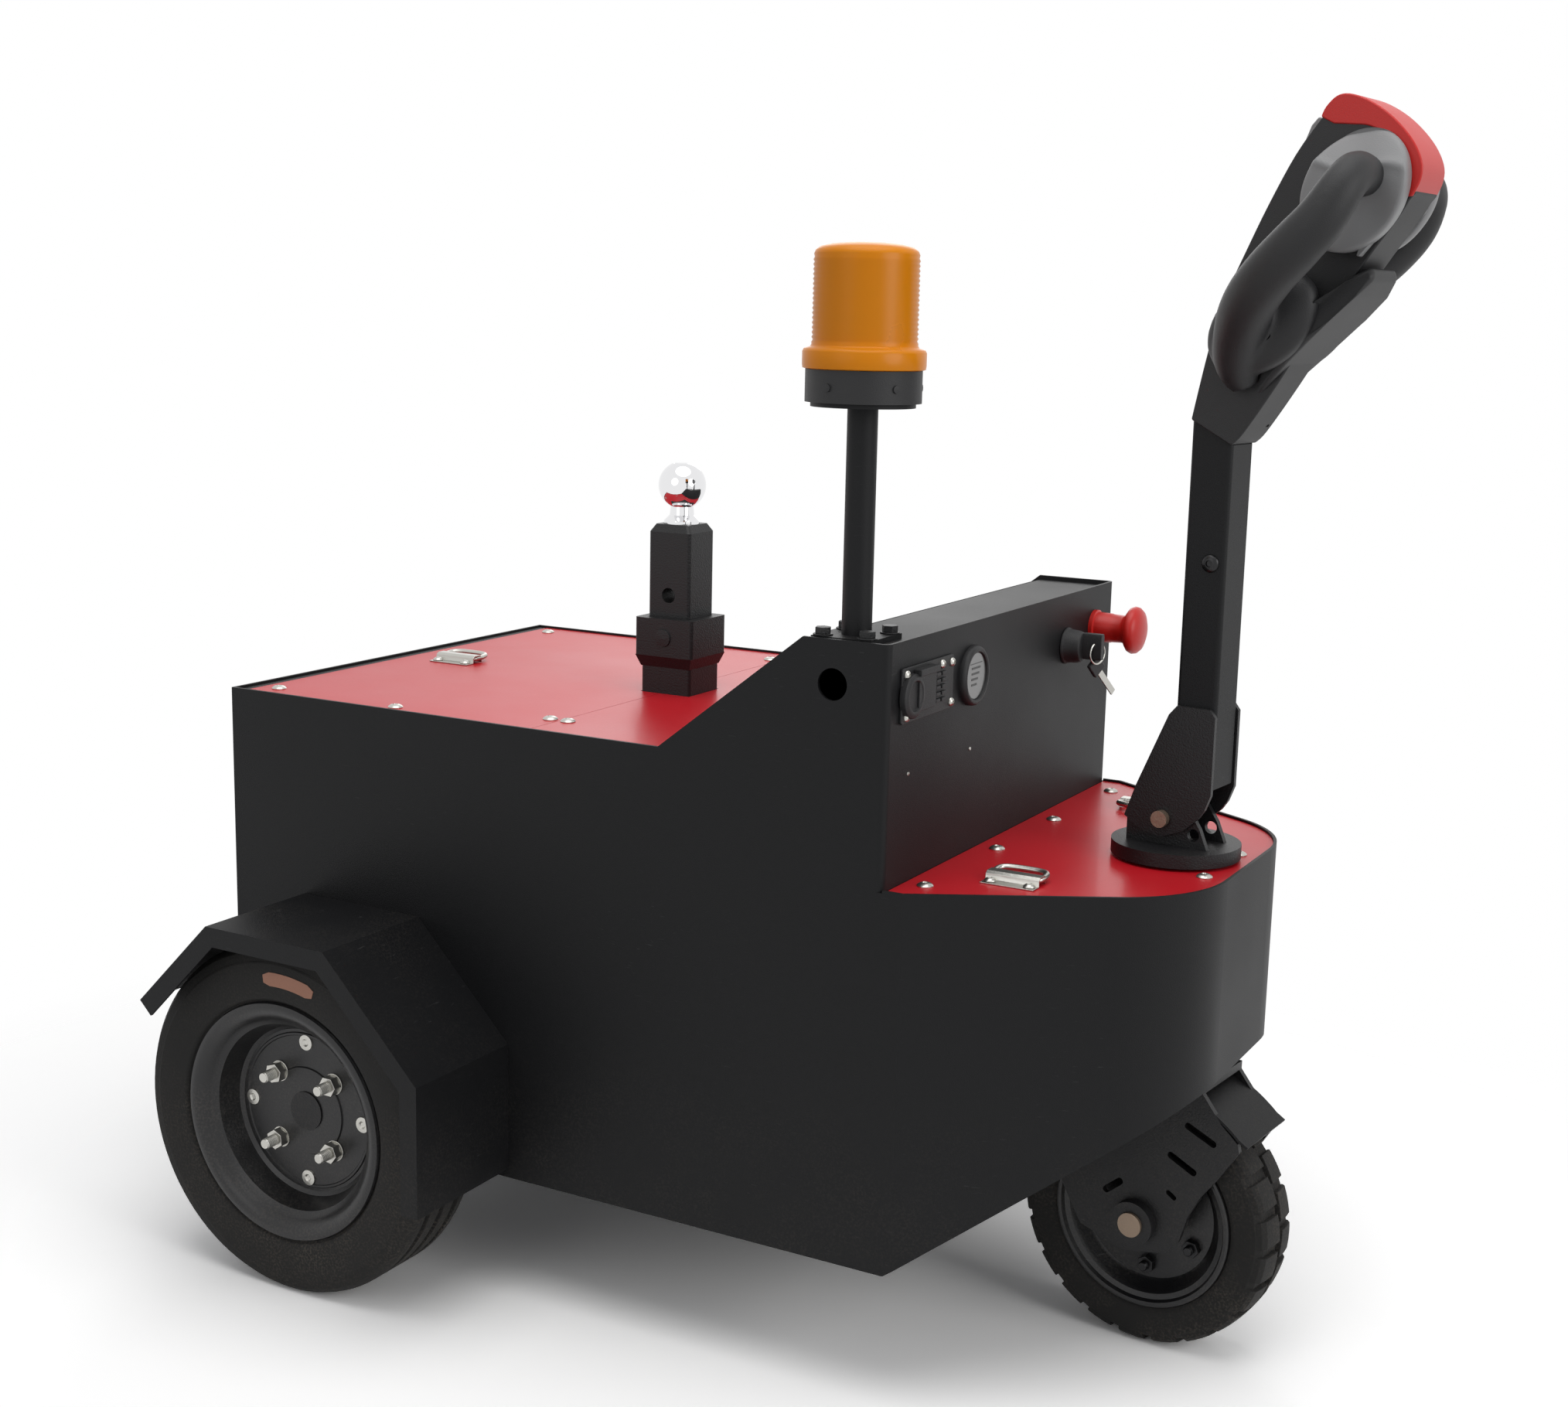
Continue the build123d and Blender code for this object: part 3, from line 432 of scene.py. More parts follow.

# %% [markdown]
# A CAD solid has perfectly sharp edges, and real folded sheet has not: a small round edge
# catches a line of light. A Bevel modifier adds it without touching the solid's own points.
# Each row below gives a node its finish and its edge radius in millimetres, and lists a slot that is not
# used.

# %% Dress the solids
MM = 0.001
SOLIDS = (
    # node, material, edge radius in mm, slot
    ("side_panel_left", POWDER, 0.8, "body_black"),
    ("side_panel_right", POWDER, 0.8, "body_black"),
    ("rear_panel", POWDER, 0.8, "body_black"),
    ("nose_shell", POWDER, 0.8, "body_black"),
    ("dash_face", POWDER, 0.8, "body_black"),
    ("dash_top", POWDER, 0.6, "body_black"),
    ("dash_slope", POWDER, 0.6, "body_black"),
    ("rear_deck_panel", PANEL, 0.5, "panel_red"),
    ("middle_deck_panel", PANEL, 0.5, "panel_red"),
    ("front_deck_panel", PANEL, 0.5, "panel_red"),
    ("floor_pan", FRAME_PAINT, 0.6, "frame_steel"),
    ("steering_plate", FRAME_PAINT, 0.6, "frame_steel"),
    ("battery_block", CASE, 3.0, "battery_case"),
    ("drive_axle", FRAME_PAINT, 2.0, "frame_steel"),
    ("wheel_guard_left", POWDER, 1.0, "body_black"),
    ("wheel_guard_right", POWDER, 1.0, "body_black"),
    ("rear_hub_left", FRAME_PAINT, 1.0, "frame_steel"),
    ("rear_hub_right", FRAME_PAINT, 1.0, "frame_steel"),
    ("front_axle", BRONZE, 1.0, "axle_bronze"),
    ("fork", FRAME_PAINT, 0.9, "frame_steel"),
    ("front_mudguard", POWDER, 0.7, "body_black"),
    ("steering_shaft", FRAME_PAINT, 1.0, "frame_steel"),
    ("tiller_base", FRAME_PAINT, 1.2, "frame_steel"),
    ("pivot_pin", BRONZE, 1.2, "zinc_steel"),
    ("tiller_bracket", FRAME_PAINT, 1.2, "frame_steel"),
    ("tiller_arm", POWDER, 0.0, "body_black"),
    ("hitch_beam", FRAME_PAINT, 1.0, "frame_steel"),
    ("hitch_socket", FRAME_PAINT, 1.2, "frame_steel"),
    ("hitch_bar", FRAME_PAINT, 0.8, "frame_steel"),
    ("tow_ball", CHROME, 0.0, "chrome"),
    ("beacon_pole", POWDER, 0.8, "body_black"),
    ("beacon_base", GRIP_PLASTIC, 1.0, "black_plastic"),
)


def round_edges(piece, radius, segments=2, angle=35):
    """A Bevel modifier over the sharp edges, with flat faces kept flat."""
    modifier = piece.modifiers.new("round_edges", "BEVEL")
    modifier.width = radius
    modifier.segments = segments
    modifier.limit_method = "ANGLE"
    modifier.angle_limit = math.radians(angle)
    modifier.harden_normals = True


for node_name, material, radius, slot_name in SOLIDS:
    node = NODES[node_name]
    node.data.materials.clear()
    node.data.materials.append(material)
    if radius:
        round_edges(node, radius * MM)
print(len(SOLIDS), "solids dressed")

# %% [markdown]
# The machine is parked with its tiller a few degrees off straight ahead. The steered pieces
# are easier to draw straight, so they are made that way and then turned about the upright
# steering axis, just as the solids were.

# %% Parked turn
STEER_X = DASH + 0.175
STEERED = ("steering", "front_wheel", "tiller")
PARKED = (
    Matrix.Translation((STEER_X, 0, 0))
    @ Matrix.Rotation(math.radians(-6), 4, "Z")
    @ Matrix.Translation((-STEER_X, 0, 0))
)
print("steering axis at", round(STEER_X, 4))

# %% [markdown]
# Made pieces are collected as points and faces. A turned piece is a profile swept round an
# axis, a cut piece is an outline with a thickness, and a bent rod is a circle carried along
# a path. All three are rows of rings joined by four-sided faces, so one small class does it.


# %% Rings into pieces
TINY = 1e-5
MERGE = 2e-5


class Shape:
    """Points and faces of one piece, in metres."""

    def __init__(self):
        self.points = []
        self.faces = []

    def rings(self, rows, closed=False):
        """Joins rings of equally many points, and the last to the first if closed."""
        start = len(self.points)
        count = len(rows[0])
        self.points += [Vector(p) for row in rows for p in row]
        for a in range(len(rows) if closed else len(rows) - 1):
            b = (a + 1) % len(rows)
            for i in range(count):
                j = (i + 1) % count
                quad = (a * count + i, a * count + j, b * count + j, b * count + i)
                self.faces.append(tuple(start + k for k in quad))
        if not closed:
            self.faces.append(tuple(start + i for i in range(count)))
            self.faces.append(tuple(start + (len(rows) - 1) * count + i for i in range(count)))

    def turned(self, profile, centre, axis, steps=48, closed=False):
        """Sweeps rows of (radius, distance along the axis), in mm, round a centre."""
        along = Vector(axis).normalized()
        side = along.orthogonal().normalized()
        other = along.cross(side)
        rows = []
        for radius, distance in profile:
            reach = max(radius * MM, TINY)
            row = []
            for i in range(steps):
                turn = 2 * math.pi * i / steps
                spoke = side * math.cos(turn) + other * math.sin(turn)
                row.append(Vector(centre) + along * (distance * MM) + spoke * reach)
            rows.append(row)
        self.rings(rows, closed)

    def cut(self, outline, low, high, across="Y"):
        """An outline in the two other axes, given a thickness along one axis."""
        def lift(a, b, level):
            return {"X": (level, a, b), "Y": (a, level, b), "Z": (a, b, level)}[across]
        self.rings([[lift(a, b, level) for a, b in outline] for level in (low, high)])

    def box(self, low, high):
        """A block between two corners."""
        outline = [(low[0], low[1]), (high[0], low[1]), (high[0], high[1]), (low[0], high[1])]
        self.cut(outline, low[2], high[2], "Z")

    def rod(self, path, radii, sides=16, closed=False):
        """A round rod along a path of points, with one radius or one per point."""
        spots = [Vector(p) for p in path]
        sizes = [radii] * len(spots) if isinstance(radii, (int, float)) else list(radii)
        rows = []
        normal = None
        for k, spot in enumerate(spots):
            if closed:
                heading = spots[(k + 1) % len(spots)] - spots[k - 1]
            else:
                heading = spots[min(k + 1, len(spots) - 1)] - spots[max(k - 1, 0)]
            heading.normalize()
            normal = heading.orthogonal() if normal is None else normal - heading * normal.dot(heading)
            normal.normalize()
            other = heading.cross(normal)
            rows.append([
                spot + (normal * math.cos(t) + other * math.sin(t)) * sizes[k]
                for t in (2 * math.pi * i / sides for i in range(sides))
            ])
        self.rings(rows, closed)

    def made(self, name, material, body, slot_name, round_mm=0.0, segments=2, angle=35, stands_for=()):
        """The finished object, with smooth faces between its sharp edges."""
        mesh = bpy.data.meshes.new(name)
        mesh.from_pydata(self.points, [], self.faces)
        if body in STEERED:
            mesh.transform(PARKED)
        work = bmesh.new()
        work.from_mesh(mesh)
        bmesh.ops.remove_doubles(work, verts=work.verts, dist=MERGE)
        bmesh.ops.recalc_face_normals(work, faces=work.faces)
        work.to_mesh(mesh)
        work.free()
        mesh.shade_smooth()
        mesh.set_sharp_from_angle(angle=math.radians(angle))
        piece = bpy.data.objects.new(name, mesh)
        bpy.context.scene.collection.objects.link(piece)
        piece.data.materials.append(material)
        if round_mm:
            round_edges(piece, round_mm * MM, segments, angle)
        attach(piece, body)
        if stands_for:
            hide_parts(*stands_for)
        return piece


print("shape maker ready")

# %% [markdown]
# The rear tyres are solid rubber bands with three grooves round the tread. The tread runs
# from shoulder to shoulder as flat ribs, and a step in the sidewall marks where the mould
# parted. A turned profile gives all of this at once.

# %% Rear tyres
REAR_AXLE = Vector((DASH - 0.602, 0, 0.180))
REAR_R, REAR_IN, REAR_OUT = 180, 298, 386
RIM_R = 122
GROOVE_DEPTH = 6
GROOVES = (320, 342, 364)


def rear_tyre_profile():
    """(radius, distance from the centre line) in mm, from the inner bead to the outer."""
    rows = [(RIM_R, REAR_IN + 3), (RIM_R + 4, REAR_IN), (164, REAR_IN), (167, REAR_IN + 1.5)]
    rows += [(REAR_R - 6, REAR_IN + 3), (REAR_R - 1.5, REAR_IN + 8), (REAR_R, REAR_IN + 12)]
    for y in GROOVES:
        rows += [(REAR_R, y - 4), (REAR_R - GROOVE_DEPTH, y - 2)]
        rows += [(REAR_R - GROOVE_DEPTH, y + 2), (REAR_R, y + 4)]
    rows += [(REAR_R, REAR_OUT - 12), (REAR_R - 1.5, REAR_OUT - 8), (REAR_R - 6, REAR_OUT - 3)]
    rows += [(167, REAR_OUT - 1.5), (165, REAR_OUT - 1.2), (164, REAR_OUT), (RIM_R + 7, REAR_OUT)]
    rows += [(RIM_R + 5, REAR_OUT - 1), (RIM_R + 3, REAR_OUT - 4), (RIM_R, REAR_OUT - 5)]
    return rows


SIDES = (("left", 1), ("right", -1))
for side, sign in SIDES:
    tyre = Shape()
    tyre.turned(rear_tyre_profile(), REAR_AXLE, (0, sign, 0), 96, closed=True)
    tyre.made(
        f"rear_tyre_{side}_dressed", RUBBER, f"rear_wheel_{side}", "rubber_black", 0.8,
        stands_for=(f"rear_tyre_{side}",),
    )
print("rear tyre", 2 * REAR_R, "mm across,", len(GROOVES), "grooves")

# %% [markdown]
# The rear rims are pressed steel dishes. The lip rolls outwards over the tyre, the barrel
# runs in by 40 mm, and the flat disc carries a raised boss, four studs with nuts and four
# countersunk screws. Nuts are six-sided outlines; the studs are turned with a few rings
# for the thread.

# %% Rear rims
DISC_Y = REAR_OUT - 40
STUD_CIRCLE, SCREW_CIRCLE = 50, 72


def hexagon(x, z, radius, turn=0.0):
    """Six corners round a point."""
    return [
        (x + radius * math.cos(turn + math.pi * k / 3), z + radius * math.sin(turn + math.pi * k / 3))
        for k in range(6)
    ]


def threaded_rod(shape, spot, axis, radius, start, end, pitch=1.6):
    """A stud whose profile zigzags like a thread, with a small chamfer on its end."""
    rows = [(radius * 0.86, start)]
    steps = int((end - start) / pitch)
    for k in range(steps):
        rows += [(radius, start + (k + 0.25) * pitch), (radius * 0.88, start + (k + 0.75) * pitch)]
    rows += [(radius * 0.8, end)]
    shape.turned(rows, spot, axis, 16)


for side, sign in SIDES:
    out_axis = Vector((0, sign, 0))
    rim = Shape()
    rows = [
        (18, DISC_Y - 6), (44, DISC_Y - 6), (84, DISC_Y - 6), (92, DISC_Y - 14),
        (98, REAR_IN + 8), (RIM_R - 4, REAR_IN + 1), (RIM_R, REAR_IN + 3), (RIM_R, REAR_OUT - 5),
        (RIM_R + 1.5, REAR_OUT - 3.5), (RIM_R, REAR_OUT - 1), (RIM_R - 4, REAR_OUT),
        (RIM_R - 9, REAR_OUT - 1), (RIM_R - 15, REAR_OUT - 5), (RIM_R - 18, REAR_OUT - 10),
        (RIM_R - 21, REAR_OUT - 13), (RIM_R - 25, REAR_OUT - 16), (92, REAR_OUT - 30),
        (89, DISC_Y + 3), (85, DISC_Y), (82, DISC_Y), (81, DISC_Y + 1.2), (79, DISC_Y + 1.2),
        (78, DISC_Y), (46, DISC_Y), (45, DISC_Y + 1.5), (20, DISC_Y + 1.5), (3, DISC_Y + 1.5),
        (0.5, DISC_Y), (0.1, DISC_Y - 6),
    ]
    rim.turned(rows, REAR_AXLE, out_axis, 96)
    rim.made(
        f"rear_rim_{side}_dressed", RIM_PAINT, f"rear_wheel_{side}", "rim_black", 0.0, angle=28,
        stands_for=(f"rear_rim_{side}",),
    )
    nuts = Shape()
    screws = Shape()
    for k in range(4):
        turn = math.radians(45 + 90 * k)
        spot = REAR_AXLE + Vector((math.cos(turn), 0, math.sin(turn))) * STUD_CIRCLE * MM
        centre = (spot.x, spot.z)
        washer = [(0.1, DISC_Y), (11, DISC_Y), (11, DISC_Y + 1.6), (0.1, DISC_Y + 1.6)]
        nuts.turned(washer, spot, out_axis, 32)
        low, high = sorted((sign * (DISC_Y + 1.6) * MM, sign * (DISC_Y + 11.5) * MM))
        nuts.cut(hexagon(*centre, 10.5 * MM, 0.3 * k), low, high)
        threaded_rod(nuts, spot, out_axis, 6, DISC_Y + 11, DISC_Y + 26)
        turn = math.radians(90 * k)
        spot = REAR_AXLE + Vector((math.cos(turn), 0, math.sin(turn))) * SCREW_CIRCLE * MM
        head = [
            (0.1, DISC_Y), (8.5, DISC_Y), (8, DISC_Y + 1.6), (4, DISC_Y + 2), (2.5, DISC_Y + 0.6),
            (0.1, DISC_Y + 0.5),
        ]
        screws.turned(head, spot, out_axis, 24)
    nuts.made(f"rear_nuts_{side}", ZINC, f"rear_wheel_{side}", "zinc_steel", 0.5)
    screws.made(f"rear_screws_{side}", ZINC, f"rear_wheel_{side}", "zinc_steel", 0.0)
print("stud circle", 2 * STUD_CIRCLE, "mm")

# %% [markdown]
# The front tyre has blocks instead of ribs: two rows of lugs, staggered by half a step, on
# a plain turned band. Each lug is a short stretch of the band lifted outwards, cut in three
# along its length so that it follows the round, with its outer edge sloped at the shoulder.

# %% Front tyre
FRONT_AXLE = Vector((STEER_X, 0, 0.130))
FRONT_R, FRONT_HALF, FRONT_RIM_R = 130, 33, 92
LUG_DEPTH, LUGS = 6, 22
LUG_SHARE = 0.74


def on_wheel(centre, radius, turn, y):
    """A point at a radius and a turn about a wheel's axle, in metres from mm."""
    return centre + Vector((radius * math.cos(turn), y, radius * math.sin(turn))) * MM


front_tyre = Shape()
rows = [
    (FRONT_RIM_R, -FRONT_HALF + 3), (FRONT_RIM_R + 3, -FRONT_HALF + 1), (FRONT_RIM_R + 6, -FRONT_HALF),
    (118, -FRONT_HALF), (121, -FRONT_HALF + 2), (FRONT_R - LUG_DEPTH, -FRONT_HALF + 6),
    (FRONT_R - LUG_DEPTH + 1, 0), (FRONT_R - LUG_DEPTH, FRONT_HALF - 6), (121, FRONT_HALF - 2),
    (118, FRONT_HALF), (FRONT_RIM_R + 6, FRONT_HALF), (FRONT_RIM_R + 3, FRONT_HALF - 1),
    (FRONT_RIM_R, FRONT_HALF - 3),
]
front_tyre.turned(rows, FRONT_AXLE, (0, 1, 0), 88, closed=True)
pitch = 2 * math.pi / LUGS
for row_side in (1, -1):
    for k in range(LUGS):
        first = pitch * (k + (0.5 if row_side > 0 else 0.0))
        rows = []
        for cut in range(4):
            turn = first + pitch * LUG_SHARE * cut / 3
            skew = 2.5 * (cut / 3 - 0.5)
            section = (
                (FRONT_R - LUG_DEPTH - 2, 1.5 + skew), (FRONT_R, 2.5 + skew), (FRONT_R - 0.6, 16),
                (FRONT_R - 2.2, FRONT_HALF - 6), (FRONT_R - 6, FRONT_HALF - 1.5),
                (FRONT_R - 14, FRONT_HALF), (FRONT_R - 16, FRONT_HALF - 3),
            )
            rows.append([on_wheel(FRONT_AXLE, r, turn, row_side * y) for r, y in section])
        front_tyre.rings(rows)
front_tyre.made(
    "front_tyre_dressed", RUBBER, "front_wheel", "rubber_black", 0.7, angle=30,
    stands_for=("front_tyre",),
)
print("front tyre", 2 * FRONT_R, "mm across,", 2 * LUGS, "lugs")

# %% [markdown]
# The front rim is a narrow dish with six nuts close round the hub. Its boss carries the
# bearing and stands out almost to the fork.

# %% Front rim
FRONT_DISC = 14
front_rim = Shape()
half = [
    (12.1, FRONT_HALF - 1), (22, FRONT_HALF - 1), (29, FRONT_HALF - 3), (31, FRONT_HALF - 8),
    (33, FRONT_DISC + 1), (36, FRONT_DISC), (68, FRONT_DISC), (71, FRONT_DISC + 2),
    (76, FRONT_HALF - 8), (79, FRONT_HALF - 5), (84, FRONT_HALF - 3.5), (86, FRONT_HALF),
    (89, FRONT_HALF + 0.4), (91, FRONT_HALF - 0.5), (FRONT_RIM_R, FRONT_HALF - 3),
]
rows = half + [(r, -y) for r, y in reversed(half)]
front_rim.turned(rows, FRONT_AXLE, (0, 1, 0), 88, closed=True)
front_rim.made(
    "front_rim_dressed", RIM_PAINT, "front_wheel", "rim_black", 0.0, angle=28,
    stands_for=("front_rim",),
)
front_nuts = Shape()
for axis_sign in (1, -1):
    for k in range(6):
        turn = math.radians(32 + 60 * k)
        spot = on_wheel(FRONT_AXLE, 54, turn, 0)
        low, high = sorted((axis_sign * FRONT_DISC * MM, axis_sign * (FRONT_DISC + 7) * MM))
        front_nuts.cut(hexagon(spot.x, spot.z, 9 * MM, 0.4 * k), low, high)
        threaded_rod(front_nuts, spot, (0, axis_sign, 0), 5, FRONT_DISC + 6, FRONT_DISC + 13)
front_nuts.made("front_nuts", DARK_METAL, "front_wheel", "frame_steel", 0.5)
print("front rim", 2 * FRONT_RIM_R, "mm")

# %% [markdown]
# The deck panels are held by low dome-head screws, and the dash plates by smaller ones.
# One profile, turned once per place in a table, makes each set.

# %% Dome screws
DOME = ((0.1, 0), (7.5, 0), (7.6, 0.7), (6.6, 2.0), (4.6, 3.1), (2.6, 3.5), (2.2, 2.0), (0.1, 1.9))
FRONT_DECK_Z, REAR_DECK_Z = 484, 585
DECK_SCREWS = (
    # X from the dash face and Y, in mm, on the front deck
    (21, -229), (22, -71), (23, 70), (26, 225), (223, -59), (225, 39),
)
REAR_SCREWS = (
    (-724, -241), (-724, 241), (-398, -213), (-377, -213), (-398, 226), (-377, 226),
    (-560, -252), (-560, 252),
)


def screws_on(name, spots, level):
    """Dome screws on a flat deck at one height."""
    heads = Shape()
    for x, y in spots:
        place = (DASH + x * MM, y * MM, level * MM)
        heads.turned(DOME, place, (0, 0, 1), 24)
    return heads.made(name, ZINC, "chassis", "zinc_steel", angle=40)


screws_on("front_deck_screws", DECK_SCREWS, FRONT_DECK_Z)
screws_on("rear_deck_screws", REAR_SCREWS, REAR_DECK_Z)
print(len(DECK_SCREWS) + len(REAR_SCREWS), "deck screws")

# %% [markdown]
# A lift handle is a flat steel ring held by a plate whose middle is pressed up over one side
# of the ring. Two small screws hold the plate. The ring lies back on the panel.

# %% Folding lift handles
HANDLES = (
    # X from the dash face, Y, height of the deck, side on which the ring lies
    (84, -168, FRONT_DECK_Z, 1),
    (84, 168, FRONT_DECK_Z, -1),
    (-680, 10, REAR_DECK_Z, 1),
)
handles = Shape()
for x, y, z, toward in HANDLES:
    middle = Vector((DASH + x * MM, (y - 10 * toward) * MM, z * MM))
    fold = [
        (-27, 0.2), (-14, 0.2), (-13, 1.5), (-12.5, 6), (-10, 7.6), (-2, 7.6), (0.5, 6), (1, 1.5), (2, 0.2),
        (2, 1.4), (1.6, 2), (1.4, 6.8), (-1, 9), (-11, 9), (-14, 6.8), (-14.6, 2), (-15, 1.4), (-27, 1.4),
    ]
    strip = [(middle.y + toward * (a + 12) * MM, middle.z + b * MM) for a, b in fold]
    handles.cut(strip, middle.x - 26 * MM, middle.x + 26 * MM, "X")
    ring = []
    for k in range(28):
        turn = 2 * math.pi * k / 28
        bulge_x = 24 * math.copysign(abs(math.cos(turn)) ** 0.6, math.cos(turn))
        bulge_y = 14 * math.copysign(abs(math.sin(turn)) ** 0.6, math.sin(turn))
        ring.append(middle + Vector((bulge_x, toward * (bulge_y + 16), 4.2 + 0.1 * (bulge_y + 14))) * MM)
    handles.rod(ring, 2.9 * MM, 12, closed=True)
    for end in (-19, 19):
        head = [(r * 0.75, d) for r, d in DOME]
        spot = middle + Vector((end, -8 * toward, 1.4)) * MM
        handles.turned(head, spot, (0, 0, 1), 20)
handles.made(
    "lift_handles", ZINC, "chassis", "zinc_steel", 0.4, stands_for=("deck_handles",)
)
print(len(HANDLES), "lift handles")

# %% [markdown]
# The charge socket is a black plate with a square flap over a round outlet, and four silver
# screws at its corners. A row of low bars stands beside the flap.

# %% Charge socket


def on_dash(x, y, z):
    """A point by its distance out of the dash face, Y and height, in mm."""
    return Vector((DASH + x * MM, y * MM, z * MM))


def clipped_plate(shape, low, high, start, end, clip=2):
    """A plate on the dash between two (Y, Z) corners, its corners clipped off, in mm."""
    (y0, z0), (y1, z1) = low, high
    corners = [
        (y0, z0 + clip), (y0 + clip, z0), (y1 - clip, z0), (y1, z0 + clip),
        (y1, z1 - clip), (y1 - clip, z1), (y0 + clip, z1), (y0, z1 - clip),
    ]
    outline = [(y * MM, z * MM) for y, z in corners]
    shape.cut(outline, DASH + start * MM, DASH + end * MM, "X")


socket = Shape()
clipped_plate(socket, (-250, 631), (-143, 681), 0, 2.5)
clipped_plate(socket, (-226, 640), (-191, 674), 2, 8)
socket.box(on_dash(2, -228, 672), on_dash(10.5, -189, 678))
for row in range(5):
    for column in range(2):
        y0, z0 = -184 + 12 * column, 641 + 6 * row
        socket.box(on_dash(2, y0, z0), on_dash(5, y0 + 9, z0 + 3.4))
ring = [(20, 0), (20, 6), (17, 7.5), (14, 7.5), (13, 5), (0.1, 5)]
socket.turned(ring, on_dash(1, -233, 655), (1, 0, 0), 40)
socket.made(
    "charge_socket_dressed", GRIP_PLASTIC, "chassis", "black_plastic", 0.7,
    stands_for=("charge_socket",),
)
plate_screws = Shape()
small = [(r * 0.56, d * 0.9) for r, d in DOME]
for y, z in ((-242, 675), (-148, 674), (-241, 637), (-148, 637), (-169, 675)):
    plate_screws.turned(small, on_dash(2.5, y, z), (1, 0, 0), 20)
for y, z in ((-95, 583.5), (-228, 583.7)):
    plate_screws.turned(((1.8, 0), (1.6, 0.8), (0.1, 1)), on_dash(0, y, z), (1, 0, 0), 12)
plate_screws.made("socket_screws", ZINC, "chassis", "zinc_steel")
print("charge socket plate 107 mm wide")

# %% [markdown]
# The battery gauge is a round bezel with a pale grey face set back in it, and a few dark
# bars on the face as level marks. The marks are plain bars, with no lettering.

# %% Battery gauge
GAUGE = (-97, 654)
GAUGE_FACE = finish("gauge_face", (0.09, 0.092, 0.09), 0.35, specular=0.5, coat=0.8, tone=0.06)
GAUGE_MARK = finish("gauge_mark", (0.018, 0.018, 0.018), 0.4, tone=0.02)
bezel = Shape()
rows = [
    (0.1, 0), (28.5, 0), (28.5, 3), (27.8, 5.2), (26.2, 6.6), (24.4, 6.9), (22.8, 6.2), (22.3, 4.2),
    (0.1, 4.2),
]
bezel.turned(rows, on_dash(0, *GAUGE), (1, 0, 0), 64)
bezel.made("gauge_bezel", GRIP_PLASTIC, "chassis", "black_plastic", 0.0, stands_for=("battery_gauge",))
dial = Shape()
rows = [(0.1, 4.25), (21.6, 4.25), (21.6, 4.6), (0.1, 4.6)]
dial.turned(rows, on_dash(0, *GAUGE), (1, 0, 0), 48)
dial.made("gauge_dial", GAUGE_FACE, "chassis", "black_plastic")
marks = Shape()
for row in range(4):
    y, z = GAUGE
    marks.box(on_dash(4.6, y - 10, z - 9 + 5.2 * row), on_dash(4.8, y + 2 + 2.4 * row, z - 7 + 5.2 * row))
marks.box(on_dash(4.6, GAUGE[0] - 13, GAUGE[1] + 11.5), on_dash(4.8, GAUGE[0] + 13, GAUGE[1] + 12.2))
marks.made("gauge_marks", GAUGE_MARK, "chassis", "black_plastic")
print("gauge 57 mm over its bezel")

# %% [markdown]
# The key switch is a short black barrel with a finger wing. The key's black head stands out
# of it, and a ring through the head carries a second key, which hangs and swings a little
# towards the button.

# %% Key switch and keys
KEY = (141, 651.5)
barrel = Shape()
rows = [(0.1, 0), (19, 0), (19, 2), (17.5, 4), (16.5, 14), (15, 19), (12.5, 20), (0.1, 20)]
barrel.turned(rows, on_dash(0, *KEY), (1, 0, 0), 40)
wing = [(-12, -13), (12, -13), (14, -9), (14, 13), (10, 17), (-10, 17), (-14, 13), (-14, -9)]
outline = [((KEY[0] + a * 0.32) * MM, (KEY[1] + b * 0.9) * MM) for a, b in wing]
barrel.cut(outline, DASH + 19 * MM, DASH + 40 * MM, "X")
barrel.made("key_barrel", GRIP_PLASTIC, "chassis", "black_plastic", 1.2, stands_for=("key_switch",))
key_ring = Shape()
ring_centre = on_dash(34, KEY[0] + 1, KEY[1] - 5)
loop = [
    ring_centre + Vector((0.35 * 11 * math.cos(t), 0.93 * 11 * math.cos(t), 11 * math.sin(t))) * MM
    for t in (2 * math.pi * k / 28 for k in range(28))
]
key_ring.rod(loop, 1.1 * MM, 8, closed=True)
fob_top = on_dash(29, 143, 638)
fob_end = on_dash(31, 158, 625)
blade_end = on_dash(33, 196, 598)


def flat_bar(shape, start, end, wide, thick):
    """A flat bar between two points, wide across its run and thick the other way."""
    run = (end - start).normalized()
    side = run.cross(Vector((0.8, -0.6, 0.1))).normalized()
    face = run.cross(side)
    rows = []
    for spot in (start, end):
        rows.append([
            spot + side * a * wide / 2 * MM + face * b * thick / 2 * MM
            for a, b in ((-1, -1), (1, -1), (1, 1), (-1, 1))
        ])
    shape.rings(rows)


flat_bar(key_ring, fob_end, blade_end, 7, 2)
key_ring.made("key_ring_and_blade", ZINC, "chassis", "zinc_steel", 0.4)
fob = Shape()
flat_bar(fob, fob_top, fob_end, 17, 5)
fob.made("key_fob", GRIP_PLASTIC, "chassis", "black_plastic", 1.5, 3)
print("keys hang", round((ring_centre.z - blade_end.z) / MM), "mm")

# %% [markdown]
# The emergency button is one turned piece: a collar on the dash, a neck and a mushroom head
# with a gently domed face.

# %% Emergency button
button = Shape()
rows = [
    (0.1, 0), (18, 0), (18, 4), (16, 5), (15.5, 20), (15, 21), (14.5, 33), (15.5, 36), (20, 38.5),
    (23.5, 41), (25, 44.5), (24.2, 48.5), (21, 52), (14, 54.8), (7, 56), (0.1, 56.4),
]
button.turned(rows, on_dash(0, 219, 662), (1, 0, 0), 56)
button.made(
    "emergency_button_dressed", RED_PLASTIC, "chassis", "red_plastic", angle=50,
    stands_for=("emergency_button",),
)
print("button head 50 mm")

# %% [markdown]
# The beacon's lens is moulded with fine level ribs inside a smooth band, which split the
# light into stripes. The profile goes up the outside with a small ripple, over the dome and
# down the inside. A paler core inside gives the lens something to glow around.

